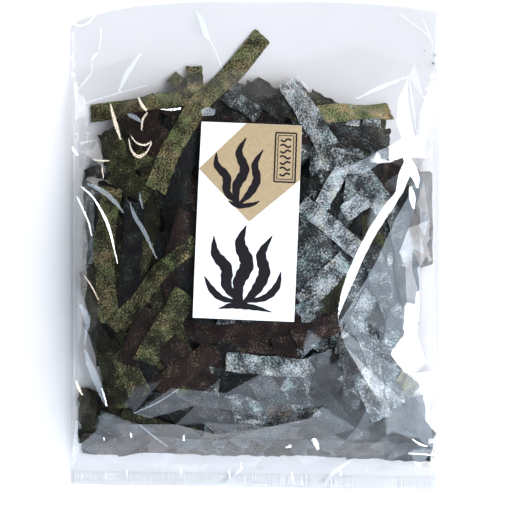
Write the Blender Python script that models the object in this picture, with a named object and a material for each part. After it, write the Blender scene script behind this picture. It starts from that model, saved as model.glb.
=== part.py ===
"""Sealed clear bag of roasted nori strips, lying flat with its paper label up.

Two solids: the bag, filled out to the uneven outline of its contents with the strips
and film folds that show standing out in low relief, and the label stuck on its top.
Metres, +Z up, +Y towards the empty flap, origin on the table under the bag's middle.
"""
import math
import random

import bmesh
import bpy
from mathutils import Vector

MM = 0.001

# The bag
FLAP_HALF_WIDTH = 152.5 * MM
FILLED_DRAW_IN = 4.5 * MM          # the filled part is narrower than the empty flap
HALF_LENGTH = 202.5 * MM
TOP_LEFT_DROP = 18.0 * MM          # the top edge arches down to both corners
TOP_RIGHT_DROP = 9.0 * MM
TOP_ARCH_POWER = 3.5
BOTTOM_SLANT = 5.0 * MM            # the bottom edge runs lower on the right
FILM_THICKNESS = 1.2 * MM          # two layers of film, drawn thick enough to be solid
SEAL_BAND = 11.5 * MM              # crimped band along the bottom
SEAL_STEP = 0.7 * MM
SEAL_SLOPE = 3.0 * MM              # length over which the film rises from a sealed edge
TOP_WELD = 3.0 * MM                # plain narrow weld along the top edge
RIM_HEIGHT = 7.0 * MM              # the side folds stand off the table where it is full
UNDERSIDE_INSET = 8.0 * MM

# The contents
PEAK_HEIGHT = 45.0 * MM
PEAK_Y = 2.0 * MM
CONTENTS_BOTTOM_Y = -176.0 * MM
CONTENTS_TOP_Y = 148.0 * MM
LOWER_ROUNDING = (2.6, 0.66)       # powers of the heap's slope towards the crimped end
UPPER_ROUNDING = (2.3, 0.95)       # towards the flap
SIDE_ROUNDING = (3.2, 0.62)        # towards the side folds
FLAP_PUFF = 0.10                   # share of the peak height left in the empty flap
FLAP_PUFF_START_Y = 110.0 * MM
LUMP_HEIGHT = 1.1 * MM
LUMP_WAVELENGTHS = (118.0 * MM, 97.0 * MM, 81.0 * MM, 66.0 * MM, 54.0 * MM)

# The label
LABEL_WIDTH = 80.0 * MM
LABEL_LENGTH = 156.0 * MM
LABEL_CENTRE = (-5.9 * MM, 19.4 * MM)
LABEL_TURN = math.radians(-2.4)
LABEL_THICKNESS = 0.5 * MM
LABEL_GAP = 0.4 * MM
LABEL_MARGIN = 5.0 * MM            # strips dive under the film this far from the label
LABEL_EASE = 12.0 * MM

# Mesh steps
CELL = 13.0 * MM
COLUMNS = 22
SIDE_CROWDING = 0.62
STRIP_STEP = 15.0 * MM
FOLD_STEP = 12.0 * MM
LABEL_STEP = 10.0 * MM
SLIVER = 0.01 * MM
SHARP_ANGLE = math.radians(32.0)

# Strips
STRIP_SINK = 2.2 * MM
TABLE_CLEARANCE = 0.35 * MM        # nothing fused on reaches the underside
STRIP_DIVE = 1.6 * MM
STRIP_EDGE_CLEARANCE = 11.0 * MM
SHEET_LENGTH = 190.0 * MM          # a whole sheet, the longest that a strip can be
FILL_SEED = 11
FILL_SPACING = 23.0 * MM
FILL_TRIES = 1200
FILL_WIDTHS = (15.0 * MM, 20.0 * MM)
FILL_LIFTS = (0.9 * MM, 2.3 * MM)
FILL_LENGTHS = (0.20, 0.42)        # shares of a whole sheet
FILL_BEND = 0.16
FILL_SIDE_GAP = 16.0 * MM
FILL_END_GAP = 7.0 * MM
UPRIGHT_LEFT_OF_X = -60.0 * MM     # on the left the strips stand along the bag

# Strips that stand out, each a width in mm, a lift in mm and the line of its middle.
NAMED_STRIPS = (
    (18.0, 4.6, ((5, 173), (-22, 143), (-45, 121), (-58, 100), (-71, 77), (-82, 48))),
    (13.0, 3.2, ((-67, 141), (-52, 127))),
    (15.0, 2.4, ((-49, 147), (-49, 126))),
    (15.5, 3.4, ((-135, 108), (-94, 115), (-54, 120))),
    (16.0, 3.7, ((113, 110), (82, 106), (51, 99))),
    (22.0, 3.0, ((34, 134), (60, 113))),
    (21.0, 4.1, ((27, 116), (70, 78))),
    (20.0, 2.6, ((90, 96), (110, 86))),
    (20.0, 3.5, ((40, 32), (80, -20))),
    (20.0, 4.4, ((40, -62), (84, -4))),
    (16.0, 3.9, ((-48, -71), (12, -66), (68, -55))),
    (16.0, 2.9, ((-24, -88), (20, -97), (60, -101))),
    (18.0, 4.3, ((-108, -64), (-84, -35), (-50, -4))),
    (17.0, 3.1, ((118, -105), (134, -126))),
    (15.0, 3.3, ((-133, 46), (-134, -16))),
    (18.0, 3.6, ((-115, 17), (-105, -44))),
    (19.0, 2.8, ((-86, -93), (-51, -53))),
    (22.0, 3.8, ((-130, -72), (-92, -109))),
    (19.0, 3.0, ((-94, -120), (-41, -93))),
    (20.0, 4.0, ((70, -67), (86, -127))),
    (18.0, 2.7, ((92, -45), (113, -100))),
    (17.0, 3.4, ((108, 22), (133, -18))),
)

# Sharp folds in the film: a foot width and a height in mm, and the line of the crest.
FILM_FOLDS = (
    (11.0, 6.8, ((127, 79), (122, 58), (94, 0), (68, -55))),
    (7.0, 3.0, ((-49, 190), (-41, 170), (-27, 148))),
    (6.0, 2.2, ((-104, 150), (-116, 128), (-112, 106))),
    (6.0, 2.0, ((115, 184), (128, 178), (141, 171))),
    (6.0, 2.0, ((-25, -189), (-12, -181), (1, -168))),
)
FOLD_SINK = 2.0 * MM
FOOT_SINK = 0.8 * MM


def smoothstep(low: float, high: float, value: float) -> float:
    """Ease from 0 at low to 1 at high."""
    t = min(1.0, max(0.0, (value - low) / (high - low)))
    return t * t * (3.0 - 2.0 * t)


def rounded(share: float, powers: tuple[float, float]) -> float:
    """A rounded slope from 1 in the middle to 0 where share reaches 1."""
    return max(0.0, 1.0 - share ** powers[0]) ** powers[1]


def fullness_along(y: float) -> float:
    """How full the bag is along its length: 0 where empty, 1 at the peak."""
    if y < PEAK_Y:
        share = min(1.0, (PEAK_Y - y) / (PEAK_Y - CONTENTS_BOTTOM_Y))
        return rounded(share, LOWER_ROUNDING)
    share = min(1.0, (y - PEAK_Y) / (CONTENTS_TOP_Y - PEAK_Y))
    puff = FLAP_PUFF * (1.0 - smoothstep(FLAP_PUFF_START_Y, HALF_LENGTH, y))
    return rounded(share, UPPER_ROUNDING) * (1.0 - FLAP_PUFF) + puff


def half_width(y: float) -> float:
    """Half the bag's width at y, drawn in where the contents fill it."""
    return FLAP_HALF_WIDTH - FILLED_DRAW_IN * smoothstep(0.0, 0.6, fullness_along(y))


def fullness_across(u: float) -> float:
    """How full the bag is across its width, u running from -1 to 1."""
    return rounded(min(1.0, abs(u)), SIDE_ROUNDING)


def top_edge(x: float) -> float:
    """The arched top edge of the bag."""
    drop = TOP_LEFT_DROP if x < 0.0 else TOP_RIGHT_DROP
    return HALF_LENGTH - drop * min(1.0, abs(x) / FLAP_HALF_WIDTH) ** TOP_ARCH_POWER


def bottom_edge(x: float) -> float:
    """The straight, slightly slanting bottom edge of the bag."""
    return -HALF_LENGTH + 0.5 * BOTTOM_SLANT * (1.0 - x / FLAP_HALF_WIDTH)


def label_point(across: float, along: float) -> tuple[float, float]:
    """A point of the label, from its own middle, in the plan of the bag."""
    c, s = math.cos(LABEL_TURN), math.sin(LABEL_TURN)
    return (LABEL_CENTRE[0] + across * c - along * s, LABEL_CENTRE[1] + across * s + along * c)


def label_cover(x: float, y: float) -> float:
    """1 under the label and its margin, easing to 0 away from it."""
    c, s = math.cos(-LABEL_TURN), math.sin(-LABEL_TURN)
    dx, dy = x - LABEL_CENTRE[0], y - LABEL_CENTRE[1]
    across, along = dx * c - dy * s, dx * s + dy * c
    outside = max(abs(across) - LABEL_WIDTH / 2.0, abs(along) - LABEL_LENGTH / 2.0)
    return 1.0 - smoothstep(LABEL_MARGIN, LABEL_MARGIN + LABEL_EASE, outside)


def lumps(x: float, y: float) -> float:
    """Low rounded lumps pressed out by the heap, between about -1 and 1."""
    total = 0.0
    for k, wavelength in enumerate(LUMP_WAVELENGTHS):
        turn = 2.4 * k + 0.6
        along = x * math.cos(turn) + y * math.sin(turn)
        total += math.sin(2.0 * math.pi * along / wavelength + 1.9 * k)
    return total / math.sqrt(len(LUMP_WAVELENGTHS))


def rim_height(y: float) -> float:
    """Height of the side folds of the bag above the table."""
    return RIM_HEIGHT * smoothstep(0.02, 0.75, fullness_along(y))


def bag_height(x: float, y: float) -> float:
    """Height of the film's upper face above the table."""
    full = fullness_along(y) * fullness_across(x / half_width(y))
    rim = rim_height(y)
    rough = lumps(x, y) * LUMP_HEIGHT * smoothstep(0.05, 0.5, full) * (1.0 - label_cover(x, y))
    step = SEAL_STEP * smoothstep(SEAL_BAND, SEAL_BAND + SEAL_SLOPE, y - bottom_edge(x))
    step *= smoothstep(TOP_WELD, TOP_WELD + SEAL_SLOPE, top_edge(x) - y)
    return FILM_THICKNESS + step + rim + (PEAK_HEIGHT - rim) * full + rough


def column_shares() -> list[float]:
    """Places of the grid's columns across the bag, closer together at its sides."""
    shares = []
    for k in range(COLUMNS + 1):
        even = 2.0 * k / COLUMNS - 1.0
        shares.append(SIDE_CROWDING * math.sin(even * math.pi / 2.0) + (1.0 - SIDE_CROWDING) * even)
    return shares


def row_distances(length: float) -> list[float]:
    """Distances of the grid's rows from the bottom edge, finer at the seals."""
    rows = [0.0, SEAL_BAND, SEAL_BAND + SEAL_SLOPE, 21.0 * MM, 27.0 * MM, 35.0 * MM]
    start, last = rows[-1], length - TOP_WELD - SEAL_SLOPE
    count = math.ceil((last - start) / CELL)
    rows += [start + (last - start) * (k + 1) / count for k in range(count)]
    return rows + [length - TOP_WELD, length]


def grid_point(share: float, distance: float, length: float) -> tuple[float, float]:
    """Plan position of a grid corner, with the rows following both curved ends."""
    reach = FLAP_HALF_WIDTH * share
    low, high = bottom_edge(reach), top_edge(reach)
    seal = SEAL_BAND + SEAL_SLOPE
    in_seal = min(distance, seal)
    rest = (distance - in_seal) / (length - seal)
    y = low + in_seal + (high - low - seal) * rest
    return half_width(y) * share, y


def upper_grid(bm: bmesh.types.BMesh) -> list[list[bmesh.types.BMVert]]:
    """Corners and faces of the film's upper face, row by row from the crimped end."""
    length = 2.0 * HALF_LENGTH
    shares = column_shares()
    upper = []
    for distance in row_distances(length):
        spots = [grid_point(share, distance, length) for share in shares]
        upper.append([bm.verts.new((x, y, bag_height(x, y))) for x, y in spots])
    for r in range(len(upper) - 1):
        for c in range(len(shares) - 1):
            a, b = upper[r][c], upper[r][c + 1]
            d, e = upper[r + 1][c], upper[r + 1][c + 1]
            if (r + c) % 2:
                bm.faces.new((a, b, e))
                bm.faces.new((a, e, d))
            else:
                bm.faces.new((a, b, d))
                bm.faces.new((b, e, d))
    return upper


def outline_of(grid: list[list]) -> list:
    """The border of a grid, once round from its first corner."""
    right = [row[-1] for row in grid]
    left = [row[0] for row in grid]
    return grid[0][:-1] + right[:-1] + grid[-1][:0:-1] + left[:0:-1]


def build_core() -> bpy.types.Object:
    """The closed solid of the filled bag without its strips and folds."""
    bm = bmesh.new()
    outline = outline_of(upper_grid(bm))
    inward_x = 1.0 - UNDERSIDE_INSET / FLAP_HALF_WIDTH
    inward_y = 1.0 - 0.5 * UNDERSIDE_INSET / HALF_LENGTH
    lower, foot = [], []
    for vert in outline:
        x, y, z = vert.co
        rim = z - FILM_THICKNESS - min(SEAL_STEP, rim_height(y))
        lower.append(bm.verts.new((x, y, rim)))
        foot.append(bm.verts.new((x * inward_x, y * inward_y, 0.0)))
    for k in range(len(outline)):
        n = (k + 1) % len(outline)
        bm.faces.new((outline[n], outline[k], lower[k], lower[n]))
        bm.faces.new((lower[n], lower[k], foot[k], foot[n]))
    base = bm.faces.new(foot[::-1])
    bmesh.ops.triangulate(bm, faces=[base])
    bmesh.ops.recalc_face_normals(bm, faces=bm.faces)
    return object_from(bm, "bag")


def object_from(bm: bmesh.types.BMesh, name: str) -> bpy.types.Object:
    """Turn a bmesh into an object of the scene."""
    mesh = bpy.data.meshes.new(name)
    bm.to_mesh(mesh)
    bm.free()
    thing = bpy.data.objects.new(name, mesh)
    bpy.context.scene.collection.objects.link(thing)
    return thing


def resample(path: list[Vector], step: float) -> list[Vector]:
    """Points spaced evenly along a smooth curve through the given points."""
    ends = [2 * path[0] - path[1]] + list(path) + [2 * path[-1] - path[-2]]
    dense = []
    for k in range(1, len(ends) - 2):
        before, start, stop, after = ends[k - 1], ends[k], ends[k + 1], ends[k + 2]
        for i in range(12):
            t = i / 12.0
            dense.append(0.5 * (2 * start + (stop - before) * t
                                + (2 * before - 5 * start + 4 * stop - after) * t * t
                                + (3 * start - before - 3 * stop + after) * t ** 3))
    dense.append(path[-1])
    travelled = [0.0]
    for a, b in zip(dense, dense[1:]):
        travelled.append(travelled[-1] + (b - a).length)
    count = max(2, round(travelled[-1] / step))
    points, k = [], 0
    for i in range(count + 1):
        target = travelled[-1] * i / count
        while k < len(dense) - 2 and travelled[k + 1] < target:
            k += 1
        share = (target - travelled[k]) / max(1e-9, travelled[k + 1] - travelled[k])
        points.append(dense[k].lerp(dense[k + 1], min(1.0, share)))
    return points


def sides_of(points: list[Vector], k: int) -> Vector:
    """Unit vector across a path at one of its points."""
    ahead = points[min(k + 1, len(points) - 1)] - points[max(k - 1, 0)]
    return Vector((-ahead.y, ahead.x)).normalized()


def sweep(name: str, sections: list[list[tuple[float, float, float]]]) -> bpy.types.Object:
    """A closed solid through equal closed sections, with flat ends."""
    bm = bmesh.new()
    rings = [[bm.verts.new(point) for point in section] for section in sections]
    size = len(rings[0])
    for a, b in zip(rings, rings[1:]):
        for k in range(size):
            n = (k + 1) % size
            bm.faces.new((a[k], a[n], b[n], b[k]))
    bm.faces.new(rings[0][::-1])
    bm.faces.new(rings[-1])
    bmesh.ops.triangulate(bm, faces=bm.faces)
    bmesh.ops.recalc_face_normals(bm, faces=bm.faces)
    return object_from(bm, name)


def strip_solid(path: list[Vector], width: float, lift: float) -> bpy.types.Object:
    """One strip pressed against the film, standing out of the bag by its lift."""
    points = resample(path, STRIP_STEP)
    sections = []
    for k, middle in enumerate(points):
        across = sides_of(points, k)
        top, under = [], []
        for side in (-0.5, 0.0, 0.5):
            spot = middle + across * width * side
            limit = half_width(spot.y) - STRIP_EDGE_CLEARANCE
            x = max(-limit, min(limit, spot.x))
            hidden = label_cover(x, spot.y)
            height = bag_height(x, spot.y) + lift * (1.0 - hidden) - STRIP_DIVE * hidden
            top.append((x, spot.y, height))
            under.append((x, spot.y, max(TABLE_CLEARANCE, height - lift - STRIP_SINK)))
        sections.append(top + under[::-1])
    return sweep("strip", sections)


def fold_solid(path: list[Vector], width: float, height: float) -> bpy.types.Object:
    """One sharp fold of film, a three-sided ridge that fades at both ends."""
    points = resample(path, FOLD_STEP)
    sections = []
    for k, middle in enumerate(points):
        across = sides_of(points, k)
        fade = math.sin(math.pi * (k + 0.5) / len(points))
        section = []
        for side, rise in ((-0.5, -FOOT_SINK), (0.0, height * fade), (0.5, -FOOT_SINK)):
            spot = middle + across * width * side
            section.append((spot.x, spot.y, bag_height(spot.x, spot.y) + rise))
        deep = max(TABLE_CLEARANCE, bag_height(middle.x, middle.y) - FOLD_SINK)
        section.append((middle.x, middle.y, min(deep, section[0][2], section[2][2])))
        sections.append(section)
    return sweep("fold", sections)


def fill_paths(chance: random.Random) -> list[tuple[float, list[Vector]]]:
    """Widths and middle lines of the strips that fill the heap between the named ones."""
    low, high = CONTENTS_BOTTOM_Y + FILL_END_GAP, CONTENTS_TOP_Y - FILL_END_GAP
    centres, strips = [], []
    for _ in range(FILL_TRIES):
        middle = Vector((chance.uniform(-1.0, 1.0) * FLAP_HALF_WIDTH, chance.uniform(low, high)))
        crowded = any((middle - other).length < FILL_SPACING for other in centres)
        if crowded or label_cover(*middle) > 0.5:
            continue
        turn = math.pi / 2.0 if middle.x < UPRIGHT_LEFT_OF_X else chance.uniform(0.0, math.pi)
        turn += chance.gauss(0.0, 0.55)
        reach = chance.uniform(*FILL_LENGTHS) * SHEET_LENGTH / 2.0
        along = Vector((math.cos(turn), math.sin(turn)))
        aside = Vector((-along.y, along.x)) * chance.uniform(-FILL_BEND, FILL_BEND) * reach
        path = [middle - along * reach, middle + aside, middle + along * reach]
        if not all(low < p.y < high and abs(p.x) < half_width(p.y) - FILL_SIDE_GAP for p in path):
            continue
        centres.append(middle)
        strips.append((chance.uniform(*FILL_WIDTHS), path))
    return strips


def join_to_core(core: bpy.types.Object, pieces: list[bpy.types.Object]) -> None:
    """Fuse the pieces to the core with one union, then remove them."""
    group = bpy.data.collections.new("relief")
    bpy.context.scene.collection.children.link(group)
    for piece in pieces:
        bpy.context.scene.collection.objects.unlink(piece)
        group.objects.link(piece)
    union = core.modifiers.new("relief", "BOOLEAN")
    union.operation = "UNION"
    union.operand_type = "COLLECTION"
    union.collection = group
    union.solver = "MANIFOLD"
    bpy.context.view_layer.update()
    depsgraph = bpy.context.evaluated_depsgraph_get()
    joined = bpy.data.meshes.new_from_object(core.evaluated_get(depsgraph))
    core.modifiers.clear()
    core.data = joined
    for piece in pieces:
        bpy.data.objects.remove(piece)
    bpy.data.collections.remove(group)


def clean_up(thing: bpy.types.Object) -> None:
    """Collapse the slivers that the union leaves and drop any loose scrap."""
    bm = bmesh.new()
    bm.from_mesh(thing.data)
    bmesh.ops.dissolve_degenerate(bm, edges=bm.edges, dist=SLIVER)
    bmesh.ops.triangulate(bm, faces=bm.faces)
    bmesh.ops.delete(bm, geom=[e for e in bm.edges if not e.link_faces], context="EDGES")
    bmesh.ops.delete(bm, geom=[v for v in bm.verts if not v.link_faces], context="VERTS")
    bm.to_mesh(thing.data)
    bm.free()
    thing.data.shade_smooth()
    thing.data.set_sharp_from_angle(angle=SHARP_ANGLE)


def build_bag() -> bpy.types.Object:
    """The sealed bag with its strips and film folds fused on."""
    core = build_core()
    pieces = []
    for width, lift, path in NAMED_STRIPS:
        line = [Vector((x * MM, y * MM)) for x, y in path]
        pieces.append(strip_solid(line, width * MM, lift * MM))
    chance = random.Random(FILL_SEED)
    for width, line in fill_paths(chance):
        pieces.append(strip_solid(line, width, chance.uniform(*FILL_LIFTS)))
    for width, height, path in FILM_FOLDS:
        line = [Vector((x * MM, y * MM)) for x, y in path]
        pieces.append(fold_solid(line, width * MM, height * MM))
    join_to_core(core, pieces)
    clean_up(core)
    return core


def build_label() -> bpy.types.Object:
    """The thin paper label, curved like the bag below it."""
    columns = round(LABEL_WIDTH / LABEL_STEP)
    rows = round(LABEL_LENGTH / LABEL_STEP)
    bm = bmesh.new()
    layers = []
    for rise in (LABEL_GAP, LABEL_GAP + LABEL_THICKNESS):
        layer = []
        for r in range(rows + 1):
            for c in range(columns + 1):
                across = LABEL_WIDTH * (c / columns - 0.5)
                x, y = label_point(across, LABEL_LENGTH * (r / rows - 0.5))
                layer.append(bm.verts.new((x, y, bag_height(x, y) + rise)))
        layers.append(layer)
    under, over = layers
    span = columns + 1
    for r in range(rows):
        for c in range(columns):
            a = r * span + c
            b, d = a + 1, a + span
            e = d + 1
            for layer, flip in ((over, 1), (under, -1)):
                bm.faces.new((layer[a], layer[b], layer[e])[::flip])
                bm.faces.new((layer[a], layer[e], layer[d])[::flip])
    edge = outline_of([list(range(r * span, (r + 1) * span)) for r in range(rows + 1)])
    for k, a in enumerate(edge):
        b = edge[(k + 1) % len(edge)]
        bm.faces.new((under[a], under[b], over[b], over[a]))
    bmesh.ops.recalc_face_normals(bm, faces=bm.faces)
    return object_from(bm, "label")


def paint(thing: bpy.types.Object, colour: tuple[float, float, float], roughness: float) -> None:
    """Give an object its own plain material."""
    material = bpy.data.materials.new(thing.name)
    material.use_nodes = True
    shader = material.node_tree.nodes["Principled BSDF"]
    shader.inputs["Base Color"].default_value = (*colour, 1.0)
    shader.inputs["Roughness"].default_value = roughness
    shader.inputs["Metallic"].default_value = 0.0
    thing.data.materials.clear()
    thing.data.materials.append(material)


def main() -> None:
    """Build the two solids."""
    for thing in list(bpy.data.objects):
        bpy.data.objects.remove(thing)
    paint(build_bag(), (0.055, 0.055, 0.045), 0.3)
    paint(build_label(), (0.9, 0.9, 0.88), 0.7)


main()
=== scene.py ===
"""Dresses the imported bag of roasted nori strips: real strips, clear film, paper label.

The bag lies label up and the camera looks straight down on it. The upper film is a net of
flat facets over the bag's smooth form. The strips are laid one by one on a height map that
grows up to that net, and the label lies on the film. Everything is in metres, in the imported
frame; picture points are pixels of the photograph.
"""

import logging
import math
from dataclasses import dataclass, field
from enum import Enum

import bpy
import numpy as np
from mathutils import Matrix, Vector
from mathutils.geometry import delaunay_2d_cdt
from mathutils.kdtree import KDTree


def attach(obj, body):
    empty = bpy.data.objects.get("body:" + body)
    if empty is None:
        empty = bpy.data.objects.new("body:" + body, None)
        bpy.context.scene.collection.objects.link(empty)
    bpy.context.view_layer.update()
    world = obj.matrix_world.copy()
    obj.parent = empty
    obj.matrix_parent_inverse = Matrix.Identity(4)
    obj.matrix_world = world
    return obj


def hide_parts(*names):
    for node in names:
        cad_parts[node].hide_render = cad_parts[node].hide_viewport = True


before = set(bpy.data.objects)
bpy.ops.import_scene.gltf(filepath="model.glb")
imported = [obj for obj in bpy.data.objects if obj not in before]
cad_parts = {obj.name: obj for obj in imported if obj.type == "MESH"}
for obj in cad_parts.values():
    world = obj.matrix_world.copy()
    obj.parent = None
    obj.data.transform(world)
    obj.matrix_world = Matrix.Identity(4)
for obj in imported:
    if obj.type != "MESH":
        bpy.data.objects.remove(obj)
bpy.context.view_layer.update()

MM = 0.001
TURN = 2.0 * math.pi
SHARP = math.radians(50.0)
LOG = logging.getLogger("nori")

Array = np.ndarray
Colour = tuple[float, float, float]
Path = tuple[tuple[float, ...], ...]
Part = tuple[Array, Array]
Node = bpy.types.Node
Socket = bpy.types.NodeSocket
Thing = bpy.types.Object


# ------ the photograph's frame

@dataclass(frozen=True)
class PhotoFrame:
    """The camera's frame: picture points turn into plan positions at a height."""

    centre: float = 255.0
    pixels: float = 510.0
    scale: float = 0.83 * MM
    camera_height: float = 900.0 * MM
    camera_y: float = -7.5 * MM

    def plan(self, px: float, py: float, height: float = 0.0) -> tuple[float, float]:
        """Plan position of a picture point that lies at a height."""
        k = self.scale * (1.0 - height / self.camera_height)
        return (px - self.centre) * k, self.camera_y + (self.centre - py) * k


PHOTO = PhotoFrame()


# ------ small numeric helpers

def in_groups(numbers: list[float] | tuple[float, ...], size: int) -> Path:
    """A flat row of numbers as points of a few numbers each."""
    return tuple(tuple(numbers[k:k + size]) for k in range(0, len(numbers), size))


def smoothstep(low: float, high: float, value: Array) -> Array:
    """Ease from 0 at low to 1 at high."""
    t = np.clip((np.asarray(value, float) - low) / (high - low), 0.0, 1.0)
    return t * t * (3.0 - 2.0 * t)


def rounded(share: Array, powers: tuple[float, float]) -> Array:
    """A rounded slope from 1 in the middle to 0 where share reaches 1."""
    return np.maximum(0.0, 1.0 - np.minimum(1.0, np.abs(share)) ** powers[0]) ** powers[1]


def curve_through(points: Array, step: float) -> Array:
    """Points spaced evenly on a smooth curve through a few given ones.

    Args:
        points: control points, one a row.
        step: wanted spacing.

    Returns:
        The spaced points, one a row.
    """
    points = np.asarray(points, float)
    ends = np.vstack([2 * points[:1] - points[1:2], points, 2 * points[-1:] - points[-2:-1]])
    dense = []
    t = np.linspace(0.0, 1.0, 16, endpoint=False)[:, None]
    for before, start, stop, after in zip(ends, ends[1:], ends[2:], ends[3:]):
        dense.append(0.5 * (2 * start + (stop - before) * t
                            + (2 * before - 5 * start + 4 * stop - after) * t ** 2
                            + (3 * start - before - 3 * stop + after) * t ** 3))
    dense = np.vstack(dense + [points[-1:]])
    travelled = np.append(0.0, np.cumsum(np.linalg.norm(np.diff(dense, axis=0), axis=1)))
    wanted = np.linspace(0.0, travelled[-1], max(3, round(travelled[-1] / step)) + 1)
    return np.stack([np.interp(wanted, travelled, column) for column in dense.T], axis=1)


def tangents(line: Array) -> Array:
    """Unit direction of a plan line at each of its points."""
    tangent = np.gradient(line, axis=0)
    return tangent / np.linalg.norm(tangent, axis=1, keepdims=True)


def band(line: Array, offsets: Array) -> Array:
    """Plan points to the left of a line, a row of offsets for each of its points.

    Args:
        line: plan points of the line, one a row.
        offsets: distances to the left, a row for each point.

    Returns:
        The points, as many rows and columns as the offsets.
    """
    tangent = tangents(line)
    aside = np.stack([-tangent[:, 1], tangent[:, 0]], axis=1)
    return line[:, None] + aside[:, None] * offsets[..., None]


def inside_loop(loop: Array, x: Array, y: Array) -> Array:
    """Whether plan points lie inside a closed loop of corners.

    Args:
        loop: the corners, one a row.
        x: x of the points.
        y: y of the points.

    Returns:
        True for each point inside.
    """
    inside = np.zeros(np.shape(x), bool)
    for (ax, ay), (bx, by) in zip(loop, np.roll(loop, -1, axis=0)):
        at = ax + (y - ay) * (bx - ax) / np.where(by == ay, 1e-12, by - ay)
        inside ^= ((ay > y) != (by > y)) & (x < at)
    return inside


def between(table: Array, column: Array, row: Array) -> Array:
    """Values of a table at places between its cells.

    Args:
        table: the values, rows by columns.
        column: columns of the places, with fractions.
        row: rows of the places, with fractions.

    Returns:
        The value at each place.
    """
    ix = np.minimum(column.astype(int), table.shape[1] - 2)
    iy = np.minimum(row.astype(int), table.shape[0] - 2)
    tx, ty = column - ix, row - iy
    low = table[iy, ix] * (1 - tx) + table[iy, ix + 1] * tx
    high = table[iy + 1, ix] * (1 - tx) + table[iy + 1, ix + 1] * tx
    return low * (1 - ty) + high * ty


def wave_noise(seed: int, lengths: tuple[float, float], x: Array, y: Array, waves: int = 14) -> Array:
    """Smooth seeded noise in the plan, mostly between -1 and 1: a sum of waves in many directions.

    Args:
        seed: fixes the draw.
        lengths: shortest and longest wavelength.
        x: x of the points.
        y: y of the points.
        waves: how many waves are summed.

    Returns:
        The noise at each point.
    """
    chance = np.random.default_rng(seed)
    turns, drawn = chance.uniform(0.0, TURN, waves), chance.uniform(*lengths, waves)
    phases = chance.uniform(0.0, TURN, waves)
    total = np.zeros(np.shape(x))
    for turn, length, phase in zip(turns, drawn, phases):
        total += np.sin(TURN * np.cos(turn) / length * x + TURN * np.sin(turn) / length * y + phase)
    return total / math.sqrt(waves) * 0.9


# ------ the form of the bag

@dataclass(frozen=True)
class BagForm:
    """The bag's outline and the smooth height of its upper film, as in the solids."""

    flap_half_width: float = 152.5 * MM
    filled_draw_in: float = 4.5 * MM
    half_length: float = 202.5 * MM
    top_left_drop: float = 18.0 * MM
    top_right_drop: float = 9.0 * MM
    top_arch_power: float = 3.5
    bottom_slant: float = 5.0 * MM
    film_thickness: float = 1.2 * MM
    seal_band: float = 11.5 * MM
    seal_step: float = 0.7 * MM
    seal_slope: float = 3.0 * MM
    top_weld: float = 3.0 * MM
    rim_top: float = 7.0 * MM
    peak_height: float = 45.0 * MM
    peak_y: float = 2.0 * MM
    contents_bottom_y: float = -176.0 * MM
    contents_top_y: float = 148.0 * MM
    lower_rounding: tuple[float, float] = (2.6, 0.66)
    upper_rounding: tuple[float, float] = (2.3, 0.95)
    side_rounding: tuple[float, float] = (3.2, 0.62)
    flap_puff: float = 0.10
    flap_puff_start_y: float = 110.0 * MM

    @property
    def seal(self) -> float:
        """Width of the weld at the foot, with the slope beside it."""
        return self.seal_band + self.seal_slope

    def fullness_along(self, y: Array) -> Array:
        """How full the bag is along its length.

        Args:
            y: places along the bag.

        Returns:
            Shares from 0 to 1.
        """
        y = np.asarray(y, float)
        lower = rounded((self.peak_y - y) / (self.peak_y - self.contents_bottom_y), self.lower_rounding)
        upper = rounded((y - self.peak_y) / (self.contents_top_y - self.peak_y), self.upper_rounding)
        puff = self.flap_puff * (1.0 - smoothstep(self.flap_puff_start_y, self.half_length, y))
        return np.where(y < self.peak_y, lower, upper * (1.0 - self.flap_puff) + puff)

    def half_width(self, y: Array) -> Array:
        """Half the bag's width at y."""
        return self.flap_half_width - self.filled_draw_in * smoothstep(0.0, 0.6, self.fullness_along(y))

    def top_edge(self, x: Array) -> Array:
        """y of the arched top edge.

        Args:
            x: places across the bag.

        Returns:
            y of the edge at each.
        """
        x = np.asarray(x, float)
        drop = np.where(x < 0.0, self.top_left_drop, self.top_right_drop)
        share = np.minimum(1.0, np.abs(x) / self.flap_half_width)
        return self.half_length - drop * share ** self.top_arch_power

    def bottom_edge(self, x: Array) -> Array:
        """y of the slightly slanting bottom edge."""
        return -self.half_length + 0.5 * self.bottom_slant * (1.0 - x / self.flap_half_width)

    def rim_height(self, y: Array) -> Array:
        """Height of the side folds above the table."""
        return self.rim_top * smoothstep(0.02, 0.75, self.fullness_along(y))

    def height(self, x: Array, y: Array) -> Array:
        """Height of the film's upper face.

        Args:
            x: x of the points.
            y: y of the points.

        Returns:
            The height at each point.
        """
        x, y = np.asarray(x, float), np.asarray(y, float)
        full = self.fullness_along(y) * rounded(x / self.half_width(y), self.side_rounding)
        rim = self.rim_height(y)
        step = self.seal_step * smoothstep(self.seal_band, self.seal, y - self.bottom_edge(x))
        step = step * smoothstep(self.top_weld, self.top_weld + self.seal_slope, self.top_edge(x) - y)
        return self.film_thickness + step + rim + (self.peak_height - rim) * full

    def spread(self, share: Array, along: Array) -> Array:
        """Plan points at shares across (-1 to 1) and along (0 to 1) the whole bag.

        Args:
            share: shares across.
            along: shares along.

        Returns:
            Plan points, one a row.
        """
        reach, length = self.flap_half_width * share, 2.0 * self.half_length
        low, high = self.bottom_edge(reach), self.top_edge(reach)
        in_seal = np.minimum(along * length, self.seal)
        y = low + in_seal + (high - low - self.seal) * (along * length - in_seal) / (length - self.seal)
        return np.column_stack([self.half_width(y) * share, y])


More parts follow.
